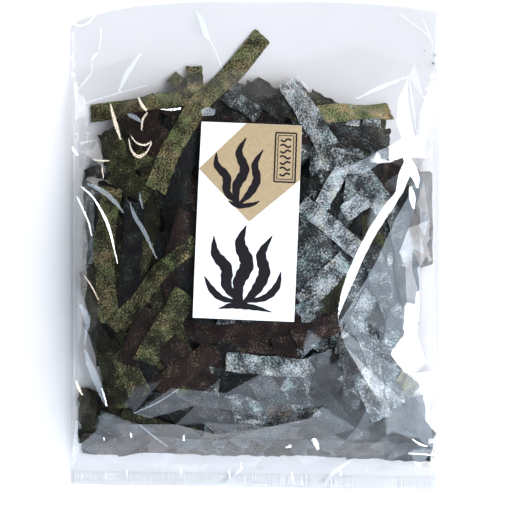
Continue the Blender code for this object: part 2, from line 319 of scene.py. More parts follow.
@dataclass(frozen=True)
class LabelPlace:
    """Where the label lies on the bag."""

    width: float = 80.0 * MM
    length: float = 156.0 * MM
    centre: tuple[float, float] = (-5.9 * MM, 19.4 * MM)
    turn: float = math.radians(-2.4)

    def point(self, across: Array, along: Array) -> tuple[Array, Array]:
        """Plan position of a point given from the label's middle."""
        c, s = math.cos(self.turn), math.sin(self.turn)
        return self.centre[0] + across * c - along * s, self.centre[1] + across * s + along * c

    def outside(self, x: Array, y: Array) -> Array:
        """Distance beyond the label's edges, below 0 inside them.

        Args:
            x: x of the points.
            y: y of the points.

        Returns:
            The distance of each point.
        """
        c, s = math.cos(-self.turn), math.sin(-self.turn)
        dx, dy = x - self.centre[0], y - self.centre[1]
        across, along = dx * c - dy * s, dx * s + dy * c
        return np.maximum(np.abs(across) - self.width / 2.0, np.abs(along) - self.length / 2.0)


# ------ node helpers

class Nodes:
    """Short calls to add and link the nodes of a tree; a node stands for its first output."""

    def __init__(self, tree: bpy.types.NodeTree) -> None:
        """Start with an empty tree."""
        self.tree = tree
        tree.nodes.clear()

    def add(self, kind: str, *sockets: object, **values: object) -> Node:
        """Add a node and set its properties and input sockets.

        Args:
            kind: the node's type name; one without Node in it gets ShaderNode before it.
            sockets: what goes into the first input sockets, in their order.
            values: properties in lower case, or sockets with underscores for spaces.

        Returns:
            The node.
        """
        node = self.tree.nodes.new(kind if "Node" in kind else "ShaderNode" + kind)
        for key, value in values.items():
            if hasattr(node, key):
                setattr(node, key, value)
            else:
                self.feed(node, key.replace("_", " "), value)
        for number, value in enumerate(sockets):
            self.feed(node, number, value)
        return node

    def feed(self, node: Node, socket: str | int, value: object) -> None:
        """Set a socket's value, or link it when the value is a node or one of its sockets.

        Args:
            node: the node.
            socket: the input socket's name or number.
            value: a plain value, a node or an output socket.
        """
        if isinstance(value, Node):
            value = value.outputs[0]
        if isinstance(value, Socket):
            self.tree.links.new(value, node.inputs[socket])
        else:
            node.inputs[socket].default_value = value


class Shader(Nodes):
    """A new material, and the mixtures that the finishes share."""

    def __init__(self, name: str) -> None:
        """Start an empty material.

        Args:
            name: the material's name.
        """
        self.material = bpy.data.materials.new(name)
        self.material.use_nodes = True
        super().__init__(self.material.node_tree)

    def ramp(self, factor: Node, *stops: tuple[float, Colour]) -> Node:
        """A colour ramp through the given stops.

        Args:
            factor: what runs along the ramp.
            stops: places from 0 to 1, each with its colour.

        Returns:
            The ramp.
        """
        node = self.add("ValToRGB", factor)
        elements = node.color_ramp.elements
        while len(elements) < len(stops):
            elements.new(0.5)
        for element, (place, colour) in zip(elements, stops):
            element.position = place
            element.color = (*colour, 1.0)
        return node

    def noise(self, place: Node | Socket, scale: float, detail: float = 3.0, roughness: float = 0.55) -> Node:
        """A noise factor at a place."""
        return self.add("TexNoise", place, Scale=scale, Detail=detail, Roughness=roughness)

    def mix(self, factor: object, first: object, second: object, blend: str = "MULTIPLY") -> Socket:
        """Two colours, the second multiplied or mixed in by a factor.

        Args:
            factor: how far the second is mixed in.
            first: the first colour.
            second: the second colour.
            blend: how they are blended.

        Returns:
            The mixed colour.
        """
        node = self.add("Mix", factor, data_type="RGBA", blend_type=blend)
        self.feed(node, 6, first)
        self.feed(node, 7, second)
        return node.outputs[2]

    def finish(self, surface: Node) -> bpy.types.Material:
        """Link the surface and return the material."""
        self.add("OutputMaterial", surface)
        return self.material


# ------ finishes

class NoriKind(Enum):
    """The kinds of strip by the look of their upper face."""

    OLIVE = "olive"
    DARK = "dark"
    BRONZE = "bronze"
    # The silvery look of this kind is painted sheen: strong pale flecks in its colour, on a really glossier
    # finish.
    SILVER = "silver"


@dataclass(frozen=True)
class NoriFinish:
    """Roasted seaweed: dark, finely crackled, satin, with pale flecks painted into its colour as a sheen
    where its glossy side would catch the bright lamps.

    A strip's own colour lies between the two tones, and its painted sheen between the two ends of
    its range. That sheen and the weighted noises add up to where the three pale sheen colours show.
    """

    tones: tuple[Colour, Colour]
    # Range of each strip's painted sheen, then the three pale colours of that painted sheen.
    painted_sheens: tuple[float, float]
    sheen_colours: tuple[Colour, Colour, Colour]
    roughness: tuple[float, float] = (0.4, 0.58)
    gloss: float = 0.12
    bump: float = 0.7
    weights: tuple[float, float, float] = (0.9, 0.5, 1.15)
    sparkle: float = 1.0
    # Where the summed sheen and noises start and finish painting in the pale sheen colours.
    sheen_shown: tuple[float, float] = (1.35, 1.85)
    mottle_scale: float = 90.0
    flake_scale: float = 290.0
    grain_scale: float = 720.0
    sheen_tint_scale: float = 62.0

    def material(self, name: str) -> bpy.types.Material:
        """Build the material: each strip carries its own tone, and how much painted sheen it shows.

        Args:
            name: the material's name.

        Returns:
            The material.
        """
        shader = Shader(name)
        place = shader.add("UVMap", uv_map="strip")
        fibres = shader.add("Mapping", place, Scale=(1.0, 2.0, 1.0))
        strip = shader.add("VertexColor", layer_name="tone")
        mottle = shader.noise(place, self.mottle_scale, 2.0, 0.5)
        flakes = shader.noise(fibres, self.flake_scale, 3.0, 0.6)
        grain = shader.noise(place, self.grain_scale, 3.0, 0.6)
        patch = shader.ramp(mottle, (0.34, (0.62, 0.5, 0.55)), (0.5, (0.95,) * 3), (0.66, (1.2, 1.45, 1.2)))
        fine = shader.ramp(grain, (0.36, (0.45,) * 3), (0.5, (1.0,) * 3), (0.64, (1.6,) * 3))
        colour = shader.mix(1.0, shader.mix(1.0, strip, patch), fine)
        # Painted sheen: where the strip's sheen and the noises pass the threshold, pale sheen colours replace
        # its own colour.
        total = strip.outputs["Alpha"]
        for part, weight in zip((mottle, flakes, grain), self.weights):
            total = shader.add("Math", part, weight, total, operation="MULTIPLY_ADD")
        sheen_shown = shader.add("MapRange", total, *self.sheen_shown, interpolation_type="SMOOTHSTEP")
        tint = shader.ramp(shader.noise(place, self.sheen_tint_scale, 2.0), *zip((0.38, 0.5, 0.62), self.sheen_colours))
        with_painted_sheen = shader.mix(sheen_shown, colour, shader.mix(self.sparkle, tint, fine), "MIX")
        rough = shader.add("MapRange", grain, 0.35, 0.65, self.roughness[1], self.roughness[0])
        relief = shader.add("Bump", Strength=self.bump, Distance=0.4 * MM, Height=grain)
        wide = shader.add("Bump", Strength=self.bump, Distance=1.4 * MM, Height=flakes, Normal=relief)
        return shader.finish(shader.add("BsdfPrincipled", Base_Color=with_painted_sheen, Roughness=rough, Normal=wide,
                                        Specular_IOR_Level=self.gloss))


@dataclass(frozen=True)
class FilmFinish:
    """Clear film: almost nothing but its reflections, a little stronger at a slant."""

    mirrored: float = 0.04
    slanting: float = 0.4
    spread: float = 0.3
    roughness: float = 0.04
    crinkle: float = 0.12
    wave_scale: float = 85.0

    def material(self, name: str) -> bpy.types.Material:
        """Build the material.

        Args:
            name: the material's name.

        Returns:
            The material.
        """
        shader = Shader(name)
        wave = shader.noise(shader.add("TexCoord").outputs["Object"], self.wave_scale, 2.0, 0.5)
        bump = shader.add("Bump", Strength=self.crinkle, Distance=0.6 * MM, Height=wave)
        clear = shader.add("BsdfTransparent", (0.994, 0.997, 1.0, 1.0))
        gloss = shader.add("BsdfGlossy", (1.0, 1.0, 1.0, 1.0), self.roughness, Normal=bump)
        facing = shader.add("LayerWeight", self.spread).outputs["Facing"]
        share = shader.add("Math", facing, self.slanting, self.mirrored, operation="MULTIPLY_ADD")
        return shader.finish(shader.add("MixShader", share, clear, gloss))


@dataclass(frozen=True)
class PaperFinish:
    """Smooth coated paper, the colours printed on it, and other plain dry surfaces."""

    colour: Colour
    roughness: float
    fibre: float = 0.08
    variation: float = 0.03
    gloss: float = 0.5
    cloud_scale: float = 320.0
    fibre_scale: float = 2200.0

    def material(self, name: str) -> bpy.types.Material:
        """Build the material.

        Args:
            name: the material's name.

        Returns:
            The material.
        """
        shader = Shader(name)
        place = shader.add("TexCoord").outputs["Object"]
        low, high = (tuple(min(1.0, c * (1.0 + change)) for c in self.colour)
                     for change in (-self.variation, self.variation))
        colour = shader.ramp(shader.noise(place, self.cloud_scale, 4.0), (0.35, low), (0.65, high))
        grain = shader.noise(place, self.fibre_scale, 2.0)
        bump = shader.add("Bump", Strength=self.fibre, Distance=0.1 * MM, Height=grain)
        return shader.finish(shader.add("BsdfPrincipled", Base_Color=colour, Roughness=self.roughness,
                                        Normal=bump, Specular_IOR_Level=self.gloss))


@dataclass(frozen=True)
class ClothFinish:
    """The pale floor: two near colours in wide soft clouds."""

    low: Colour = (0.815, 0.765, 0.735)
    high: Colour = (0.855, 0.80, 0.77)
    cloud_scale: float = 9.0

    def material(self, name: str) -> bpy.types.Material:
        """Build the material.

        Args:
            name: the material's name.

        Returns:
            The material.
        """
        shader = Shader(name)
        cloud = shader.noise(shader.add("TexCoord").outputs["Object"], self.cloud_scale, 2.0)
        colour = shader.ramp(cloud, (0.3, self.low), (0.7, self.high))
        return shader.finish(shader.add("BsdfPrincipled", Base_Color=colour, Roughness=0.9))


Finish = NoriFinish | FilmFinish | PaperFinish | ClothFinish

NORI = {
    NoriKind.OLIVE: NoriFinish(
        ((0.017, 0.016, 0.007), (0.034, 0.032, 0.013)), (0.0, 0.15),
        ((0.125, 0.145, 0.055), (0.185, 0.172, 0.080), (0.245, 0.175, 0.085)), (0.42, 0.6)),
    NoriKind.DARK: NoriFinish(
        ((0.005, 0.005, 0.005), (0.012, 0.011, 0.010)), (-0.04, 0.08),
        ((0.085, 0.105, 0.100), (0.105, 0.105, 0.105), (0.120, 0.100, 0.080))),
    NoriKind.BRONZE: NoriFinish(
        ((0.017, 0.008, 0.007), (0.030, 0.016, 0.012)), (0.01, 0.14),
        ((0.135, 0.075, 0.055), (0.160, 0.100, 0.070), (0.120, 0.105, 0.070)), bump=0.75),
    # The silvery kind: dark nori with a strong painted sheen.
    NoriKind.SILVER: NoriFinish(
        ((0.012, 0.015, 0.014), (0.028, 0.032, 0.030)), (0.09, 0.24),
        ((0.340, 0.420, 0.400), (0.520, 0.530, 0.540), (0.460, 0.450, 0.390)),
        (0.3, 0.48), 0.3, 0.8, (0.9, 0.7, 1.05), 0.25),
}


# ------ mesh helpers

def put(name: str, data: bpy.types.ID) -> Thing:
    """A new object at the origin, linked to the scene.

    Args:
        name: the object's name.
        data: its mesh, lamp or camera.

    Returns:
        The object.
    """
    thing = bpy.data.objects.new(name, data)
    bpy.context.scene.collection.objects.link(thing)
    return thing


def mesh_object(name: str, verts: Array, faces: Array | list, finish: Finish | None = None,
                look: str = "", sharp: float | None = SHARP) -> Thing:
    """A mesh object at the origin.

    Args:
        name: the piece's name.
        verts: corner positions, one a row.
        faces: corner numbers of each face.
        finish: what it is made of.
        look: the material's name, where it isn't the piece's own.
        sharp: edges that turn further than this stay sharp; None shades it flat.

    Returns:
        The object.
    """
    mesh = bpy.data.meshes.new(name)
    mesh.from_pydata([tuple(v) for v in verts], [], [tuple(f) for f in faces])
    if sharp is not None:
        mesh.shade_smooth()
        mesh.set_sharp_from_angle(angle=sharp)
    mesh.update()
    if finish:
        mesh.materials.append(finish.material(look or name))
    return put(name, mesh)


def joined(parts: list[Part]) -> Part:
    """Corners and faces of several small meshes as those of one.

    Args:
        parts: corners and faces of each mesh.

    Returns:
        Corners and faces of the whole.
    """
    starts = np.cumsum([0] + [len(corners) for corners, _ in parts])
    return (np.vstack([corners for corners, _ in parts]),
            np.vstack([faces + start for (_, faces), start in zip(parts, starts)]))


def thin_solid_faces(rows: int, columns: int) -> Array:
    """Triangles of a closed sheet whose lower points follow its upper ones, rows by columns each.

    Args:
        rows: points along the sheet.
        columns: points across it.

    Returns:
        Corner numbers, with both sides split alike.
    """
    number = np.arange(rows * columns).reshape(rows, columns)
    a, b = number[:-1, :-1].ravel(), number[:-1, 1:].ravel()
    d, e = number[1:, :-1].ravel(), number[1:, 1:].ravel()
    upper = np.vstack([np.stack([a, b, e], 1), np.stack([a, e, d], 1)])
    rim = np.concatenate([number[0, :-1], number[:-1, -1], number[-1, :0:-1], number[:0:-1, 0]])
    after = np.roll(rim, -1)
    under, under_after = rim + rows * columns, after + rows * columns
    sides = np.vstack([np.stack([rim, under, under_after], 1), np.stack([rim, under_after, after], 1)])
    return np.vstack([upper, upper[:, ::-1] + rows * columns, sides])


def sheet_normals(points: Array) -> Array:
    """Unit normals of a grid of points."""
    normal = np.cross(np.gradient(points, axis=1), np.gradient(points, axis=0))
    return normal / np.maximum(np.linalg.norm(normal, axis=-1, keepdims=True), 1e-12)


# ------ repeated small things

class RepeatTree(Nodes):
    """A Geometry Nodes tree with named inputs that repeats a small thing over a guide."""

    def __init__(self, name: str) -> None:
        """Start a tree with a geometry input and output.

        Args:
            name: the tree's and the piece's name.
        """
        super().__init__(bpy.data.node_groups.new(name, "GeometryNodeTree"))
        for way, title in (("INPUT", "Guide"), ("OUTPUT", "Geometry")):
            self.tree.interface.new_socket(title, in_out=way, socket_type="NodeSocketGeometry")
        self.name = name
        self.start = self.add("NodeGroupInput")
        self.values: dict[str, object] = {}

    def named(self, name: str, value: float | int) -> Socket:
        """Add a named input with the value that the modifier gets.

        Args:
            name: the input's name.
            value: its value, whole or not.

        Returns:
            The input inside the tree.
        """
        kind = "NodeSocketInt" if isinstance(value, int) else "NodeSocketFloat"
        item = self.tree.interface.new_socket(name, in_out="INPUT", socket_type=kind)
        self.values[item.identifier] = value
        return self.start.outputs[name]

    def chance(self, low: tuple[float, ...], high: tuple[float, ...], seed: Socket) -> Node:
        """A random vector for each point, between two others."""
        return self.add("FunctionNodeRandomValue", low, high, data_type="FLOAT_VECTOR", Seed=seed)

    def make(self, geometry: Node, material: bpy.types.Material, guide: Thing) -> Thing:
        """Run the tree over the guide and keep the result as a plain mesh.

        Args:
            geometry: the instances to make real.
            material: what they are made of.
            guide: the object whose mesh the tree starts from; it is taken away afterwards.

        Returns:
            The piece, at the origin.
        """
        real = self.add("GeometryNodeRealizeInstances", geometry)
        self.add("NodeGroupOutput", self.add("GeometryNodeSetMaterial", real, Material=material))
        modifier = guide.modifiers.new(self.name, "NODES")
        modifier.node_group = self.tree
        for identifier, value in self.values.items():
            modifier[identifier] = value
        bpy.context.view_layer.update()
        mesh = bpy.data.meshes.new_from_object(guide.evaluated_get(bpy.context.evaluated_depsgraph_get()))
        bpy.data.objects.remove(guide)
        mesh.name = self.name
        return put(self.name, mesh)


@dataclass
class SealRibs:
    """The fine crimps across the welded band at the foot of the bag."""

    form: BagForm
    pitch: float = 1.3 * MM
    reach: float = 150.0 * MM
    length: float = 10.0 * MM
    radius: float = 0.32 * MM
    seed: int = 3

    def guide(self) -> Thing:
        """A line of points along the middle of the band.

        Returns:
            The line as an object.
        """
        x = np.linspace(-self.reach, self.reach, 31)
        y = self.form.bottom_edge(x) + 0.5 * self.form.seal_band
        line = np.column_stack([x, y, np.full(len(x), self.form.film_thickness)])
        mesh = bpy.data.meshes.new("seal_line")
        mesh.from_pydata([tuple(p) for p in line], [(k, k + 1) for k in range(len(line) - 1)], [])
        return put("seal_line", mesh)

    def build(self) -> Thing:
        """Set a flat rib at every pitch, each a little different.

        Returns:
            The piece.
        """
        tree = RepeatTree("seal_ribs")
        pitch, length = tree.named("Pitch", self.pitch), tree.named("Length", self.length)
        radius, seed = tree.named("Radius", self.radius), tree.named("Seed", self.seed)
        curve = tree.add("GeometryNodeMeshToCurve", tree.start)
        spots = tree.add("GeometryNodeResampleCurve", curve, mode="LENGTH", Length=pitch)
        end = tree.add("CombineXYZ", Y=length)
        bar = tree.add("GeometryNodeCurvePrimitiveLine", End=end)
        profile = tree.add("GeometryNodeCurvePrimitiveCircle", Resolution=8, Radius=radius)
        rib = tree.add("GeometryNodeCurveToMesh", bar, profile, Fill_Caps=True)
        middle = tree.add("VectorMath", end, operation="SCALE", Scale=-0.5)
        centred = tree.add("GeometryNodeTransform", rib, Translation=middle)
        nudge = tree.chance((-0.4 * MM, -0.5 * MM, -0.15 * MM), (0.4 * MM, 0.5 * MM, 0.0), seed)
        moved = tree.add("GeometryNodeSetPosition", spots, Offset=nudge)
        ribs = tree.add("GeometryNodeInstanceOnPoints", moved, Instance=centred,
                        Scale=tree.chance((0.5, 0.75, 0.35), (1.2, 1.0, 0.9), seed),
                        Rotation=tree.chance((0.0, 0.0, -0.05), (0.0, 0.0, 0.05), seed))
        return tree.make(ribs, FilmFinish(0.1, 0.5, 0.3, 0.2, 0.0).material("seal_film"), self.guide())


@dataclass
class Crumbs:
    """Small broken flakes that lie loose at the foot of the contents and in the bag's top corner.

    Each field has its corners as picture points, and its number of flakes to the square metre.
    """

    form: BagForm
    size: float = 0.8 * MM
    thickness: float = 0.22 * MM
    taper: float = 0.8
    seed: int = 8
    fields: tuple[tuple[Path, float], ...] = (
        (((84, 446), (250, 450), (250, 455), (84, 453)), 40000.0),
        (((250, 450), (380, 450), (380, 455), (250, 455)), 40000.0),
        (((380, 450), (434, 448), (434, 457), (380, 457)), 330000.0),
        (((424, 50), (436, 54), (436, 84), (430, 80)), 40000.0),
    )

    def guide(self) -> Thing:
        """Flat fields between the two films.

        Returns:
            The fields as one object.
        """
        verts = []
        for corners, _ in self.fields:
            for px, py in corners:
                x, y = PHOTO.plan(px, py)
                verts.append((x, y, 0.5 * float(self.form.height(x, y)) + 0.2 * MM))
        faces = np.arange(len(verts)).reshape(len(self.fields), -1)
        thing = mesh_object("crumb_fields", verts, faces, sharp=None)
        amount = thing.data.attributes.new("amount", "FLOAT", "FACE")
        amount.data.foreach_set("value", [number for _, number in self.fields])
        return thing

    def build(self) -> Thing:
        """Scatter the flakes.

        Returns:
            The piece.
        """
        tree = RepeatTree("crumbs")
        size, thickness = tree.named("Size", self.size), tree.named("Thickness", self.thickness)
        seed = tree.named("Seed", self.seed)
        amount = tree.add("GeometryNodeInputNamedAttribute", "amount", data_type="FLOAT")
        spots = tree.add("GeometryNodeDistributePointsOnFaces", tree.start, Density=amount, Seed=seed)
        narrower = tree.add("Math", size, self.taper, operation="MULTIPLY")
        flake = tree.add("GeometryNodeMeshCone", Vertices=5, Radius_Bottom=size, Radius_Top=narrower,
                         Depth=thickness)
        flakes = tree.add("GeometryNodeInstanceOnPoints", spots, Instance=flake,
                          Scale=tree.chance((0.3, 0.25, 0.8), (1.3, 0.9, 1.2), seed),
                          Rotation=tree.chance((-0.2, -0.2, 0.0), (0.2, 0.2, 6.28), seed))
        crumb = PaperFinish((0.075, 0.090, 0.050), 0.6, 0.3, 0.5)
        return tree.make(flakes, crumb.material("crumb"), self.guide())


# ------ the heap of strips

@dataclass
class Strip:
    """One laid strip: the grid of its middle surface, its kind, and its tone with its painted sheen."""

    points: Array
    kind: NoriKind
    tone: Array


# One letter for each kind keeps the rows below short.
O, D, B, S = NoriKind

# The strips that show on top, the deepest first: width in mm, kind, lightness, and the middle
# line as columns and rows of picture points. The lightness is partly the strip's own tone and partly
# painted light: it scales the tone and raises the painted sheen of strips that look lit.
PLACED = (
    # the left side, the deepest first
    (18, D, 1.0, 168, 183, 182, 262), (16, B, 0.7, 188, 212, 172, 266), (17, D, 1.0, 136, 203, 129, 304),
    (15, B, 0.45, 165, 262, 180, 314), (12, S, 1.1, 88, 190, 89, 264), (16, O, 0.7, 86, 270, 96, 322),
    (17, O, 1.5, 113, 188, 105, 250, 110, 324), (18, O, 0.65, 90, 322, 110, 358),
    (18, O, 0.7, 106, 350, 120, 408), (18, O, 1.3, 120, 350, 142, 396), (17, B, 0.8, 150, 308, 127, 364),
    (20, O, 1.45, 186, 294, 145, 362), (22, B, 0.8, 166, 344, 208, 388), (18, B, 0.95, 158, 388, 214, 350),
    (14, O, 1.0, 78, 396, 98, 402), (13, O, 1.25, 197, 242, 160, 272, 138, 302, 112, 327),
    (24, B, 0.6, 126, 112, 166, 150), (20, O, 1.0, 108, 130, 120, 168), (15, D, 1.2, 82, 178, 108, 170),
    (17, O, 0.75, 112, 172, 150, 196), (18, D, 0.9, 190, 104, 178, 200),
    (14.5, O, 1.8, 89, 112, 140, 104, 188, 97), (12, O, 1.5, 171, 76, 192, 94),
    (13, O, 1.5, 194, 66, 196, 94),
    # the top and the right side
    (20, S, 0.7, 228, 92, 262, 112), (22, D, 1.4, 250, 84, 288, 112), (20, O, 0.7, 306, 96, 334, 114),
    (19, D, 1.4, 318, 136, 390, 139), (15, O, 2.5, 318, 115, 355, 112, 392, 109),
    (22, D, 0.8, 366, 158, 402, 216), (18, B, 0.6, 398, 158, 380, 212),
    (18, S, 0.7, 312, 158, 352, 166, 390, 216), (18, S, 1.3, 287, 82, 328, 148),
    (22, S, 0.6, 312, 204, 320, 262), (12, S, 1.5, 321, 206, 342, 168), (14, S, 1.2, 344, 214, 366, 198),
    (14.5, S, 1.45, 301, 203, 330, 226, 361, 254), (18, S, 0.75, 306, 236, 305, 290),
    (15, O, 0.6, 324, 312, 344, 266), (17, S, 1.35, 301, 304, 346, 260), (12, S, 1.1, 297, 313, 320, 300),
    (14, D, 2.0, 425, 172, 427, 266), (17, S, 0.75, 396, 212, 412, 292), (15, D, 1.4, 402, 262, 414, 328),
    (17, S, 0.7, 368, 246, 400, 334), (17, S, 0.8, 356, 314, 388, 384), (16, S, 0.6, 388, 332, 396, 402),
    (12, O, 1.3, 398, 376, 418, 393),
    # below the label
    (20, D, 1.0, 222, 374, 266, 390), (20, D, 2.0, 258, 376, 288, 424), (18, S, 0.6, 298, 366, 322, 396),
    (17, D, 1.3, 330, 352, 318, 400), (17, D, 1.6, 346, 338, 357, 386), (17, S, 1.3, 360, 370, 382, 418),
    (15, S, 0.5, 402, 408, 430, 440), (14, B, 0.8, 196, 335, 250, 331, 302, 325),
    (17, B, 0.9, 294, 340, 340, 321), (15, S, 1.25, 226, 361, 262, 365, 308, 368),
    (17, D, 1.8, 98, 418, 160, 440), (17, D, 1.3, 150, 402, 232, 408), (18, D, 2.2, 204, 432, 304, 436),
    (18, D, 1.4, 300, 424, 392, 438), (16, S, 0.4, 322, 398, 356, 440),
    # the long strip that reaches up into the empty top of the bag
    (17, O, 1.75, 263, 36, 229, 76, 201, 102, 185, 128, 169, 156, 156, 190),
    # the row along the foot and its corners
    (18, O, 0.7, 87, 402, 89, 444), (17, D, 1.3, 416, 398, 419, 448), (17, D, 1.9, 82, 443, 128, 447),
    (17, B, 1.4, 118, 447, 150, 444, 182, 446), (16, D, 2.4, 176, 446, 226, 448),
    (18, S, 0.3, 216, 446, 272, 447), (16, D, 1.4, 264, 448, 314, 447), (17, S, 0.7, 304, 447, 354, 449),
    (16, D, 2.2, 346, 450, 392, 450), (16, S, 0.4, 384, 451, 431, 452),
)

# The heap's outline in picture points.
OUTLINE = in_groups((
    88, 104, 112, 101, 150, 88, 186, 88, 215, 88, 232, 80, 255, 77, 283, 79, 294, 76, 306, 88, 318, 90, 332,
    103, 352, 107, 390, 101, 393, 121, 389, 131, 392, 146, 406, 156, 414, 164, 431, 168, 433, 267, 419, 271,
    417, 305, 418, 326, 409, 341, 403, 354, 403, 376, 414, 384, 411, 400, 416, 414, 432, 436, 431, 450, 400,
    455, 340, 454, 270, 453, 180, 453, 100, 451, 83, 443, 84, 408, 80, 394, 96, 388, 98, 370, 90, 340, 84,
    300, 81, 240, 81, 172, 92, 164, 100, 160, 103, 140, 110, 131, 93, 120,
), 2)


@dataclass
class NoriHeap:
    """The strips, laid one by one on a height map that grows up to the film."""

    form: BagForm
    label: LabelPlace
    net: "CreaseNet"
    seed: int = 21
    count: int = 420
    tries: int = 14
    cell: float = 1.6 * MM
    half_field: tuple[float, float] = (156.0 * MM, 206.0 * MM)
    loose_step: float = 3.0 * MM
    placed_step: float = 2.4 * MM
    loose_columns: int = 5
    placed_columns: int = 7
    thickness: float = 0.3 * MM
    floor: float = 0.7 * MM
    headroom: float = 4.2 * MM
    deep_gap: float = 4.2 * MM
    least_room: float = 0.9 * MM
    deep_room: float = 14.0 * MM
    passes: int = 6
    evenness: float = 0.85
    cup: float = 0.9 * MM
    crinkle: float = 0.08 * MM
    proud: float = 2.6 * MM
    proud_loose: float = 0.8 * MM
    clear: float = 0.3 * MM
    film_gap: float = 0.45 * MM
    sheet_length: float = 190.0 * MM
    widths: tuple[float, float] = (14.0 * MM, 20.0 * MM)
    reach_x: float = 0.146
    reach_y: float = 0.142
    olive_side: float = -0.062
    # The kind with painted sheen is drawn on the right and at the foot, past the next two limits.
    sheen_side: float = 0.030
    sheen_foot: float = -0.105
    lengthwise_side: float = -0.055
    lengthwise_share: float = 0.6
    length_shares: tuple[float, float] = (0.14, 0.85)
    bend: float = 0.10
    uneven: float = 0.05
    ragged: float = 0.02
    skewed: float = 0.06
    torn: float = 0.03
    label_fade: tuple[float, float] = (4.0 * MM, 14.0 * MM)
    over_limit: float = 0.12
    most_at_side: float = 0.6
    most_elsewhere: float = 0.55
    second_until: float = 0.85
    # How far a strip's painted sheen rises with its lightness, and the sheen's limits.
    painted_sheen_per_light: float = 0.27
    painted_sheen_limits: tuple[float, float] = (-0.1, 0.55)
    swells: Path = ((45.0, 1.0), (21.0, 0.5), (9.0, 0.3))
    outline_height: float = 10.0 * MM
    grain_turn: float = 1.9
    grain_shift: tuple[float, float] = (0.37, 0.53)
    grain_under: float = 0.11
    strips: list[Strip] = field(default_factory=list)

    def __post_init__(self) -> None:
        """Set up the height map, the ceiling, the outline and the random draw."""
        self.chance = np.random.default_rng(self.seed)
        columns, rows = (2.0 * np.array(self.half_field) / self.cell).astype(int) + 1
        self.half = np.array([(columns - 1) * self.cell / 2.0, (rows - 1) * self.cell / 2.0])
        x, y = np.meshgrid(np.linspace(-self.half[0], self.half[0], columns),
                           np.linspace(-self.half[1], self.half[1], rows))
        self.heights = np.full((rows, columns), self.floor)
        self.ceiling = self.net.at(x, y) - self.headroom
        border = np.array([PHOTO.plan(px, py, self.outline_height) for px, py in OUTLINE])
        self.within = inside_loop(border, x, y).astype(float)

    def sample(self, table: Array, spots: Array) -> Array:
        """Read a map at plan points."""
        return between(table, *(np.clip((spots[..., k] + self.half[k]) / self.cell, 0.0,
                                        table.shape[1 - k] - 1.001) for k in (0, 1)))

    def plan_grid(self, line: Array, width: float, columns: int) -> Array:
        """Plan positions of a strip's grid along its middle line, with slightly uneven cuts.

        Args:
            line: the middle line.
            width: the strip's width.
            columns: points across it.

        Returns:
            Plan points, rows by columns by 2.
        """
        shares = np.linspace(-0.5, 0.5, columns)
        run = np.linspace(0.0, 1.0, len(line))
        wave = np.sin(TURN * (run * self.chance.uniform(1.0, 4.0) + self.chance.random()))
        ragged = 1.0 + self.uneven * wave + self.ragged * self.chance.standard_normal(len(line))
        spots = band(line, shares * width * ragged[:, None])
        tangent = tangents(line)
        for end in (0, -1):
            skew = self.chance.normal(0.0, self.skewed) * width
            torn = self.torn * width * self.chance.standard_normal(columns)
            spots[end] += tangent[end] * (shares * 2.0 * skew + torn)[:, None]
        return spots

    def drape(self, spots: Array, gap: float, wave: float, stiffness: int) -> Array:
        """Heights of a strip resting on what is already laid.

        Args:
            spots: plan positions of its grid.
            gap: air left under it.
            wave: height of its own undulation.
            stiffness: smoothing passes along it.

        Returns:
            The height of each grid point.
        """
        support = self.sample(self.heights, spots) + gap
        shares = np.linspace(-1.0, 1.0, spots.shape[1])
        z = support.copy()
        for _ in range(self.passes):
            for _ in range(stiffness):
                z[1:-1] = 0.25 * z[:-2] + 0.5 * z[1:-1] + 0.25 * z[2:]
                z[0], z[-1] = 0.5 * (z[0] + z[1]), 0.5 * (z[-1] + z[-2])
            level = z.mean(axis=1, keepdims=True)
            slope = (z * shares).mean(axis=1, keepdims=True) / (shares ** 2).mean()
            flat = level + slope * shares
            z = np.maximum((1.0 - self.evenness) * z + self.evenness * flat, support)
        run = np.arange(len(spots))[:, None] * np.linalg.norm(spots[1, 0] - spots[0, 0])
        swell = np.zeros(z.shape)
        for length, share in self.swells:
            turn = self.chance.normal(0.0, 0.6)
            phase = TURN * (run / (length * MM * self.chance.uniform(0.8, 1.25)) + turn * shares * 0.25)
            swell += share * (0.5 + 0.5 * np.sin(phase + self.chance.uniform(0.0, 6.28)))
        cup = self.chance.normal(0.0, self.cup) * (shares ** 2)
        crinkle = self.crinkle * self.chance.standard_normal(z.shape)
        return z + wave * swell + cup + crinkle

    def keep_under_film(self, spots: Array, z: Array, proud: float) -> Array:
        """Hold a strip's heights under the film, most strictly under the label.

        Args:
            spots: plan positions of its grid.
            z: heights of its grid.
            proud: how far it may rise over the ceiling.

        Returns:
            The heights after that.
        """
        beyond = self.label.outside(spots[..., 0], spots[..., 1])
        limit = self.sample(self.ceiling, spots) + proud * smoothstep(*self.label_fade, beyond)
        return np.maximum(np.where(z > limit, limit + self.over_limit * (z - limit), z), self.floor)

    def settle(self, spots: Array, z: Array) -> None:
        """Write a laid strip into the height map.

        Args:
            spots: plan positions of its grid.
            z: heights of its grid.
        """
        rows, columns = z.shape
        wide, fine = np.meshgrid(np.linspace(0.0, columns - 1.0, 5 * (columns - 1) + 1),
                                 np.linspace(0.0, 1.0, 3 * (rows - 1) + 1) * (rows - 1))
        cells = (np.round((between(spots[..., k], wide, fine) + self.half[k]) / self.cell).astype(int)
                 for k in (1, 0))
        inside = tuple(np.clip(cell, 0, count - 1) for cell, count in zip(cells, self.heights.shape))
        np.maximum.at(self.heights, inside, between(z, wide, fine) + self.thickness)

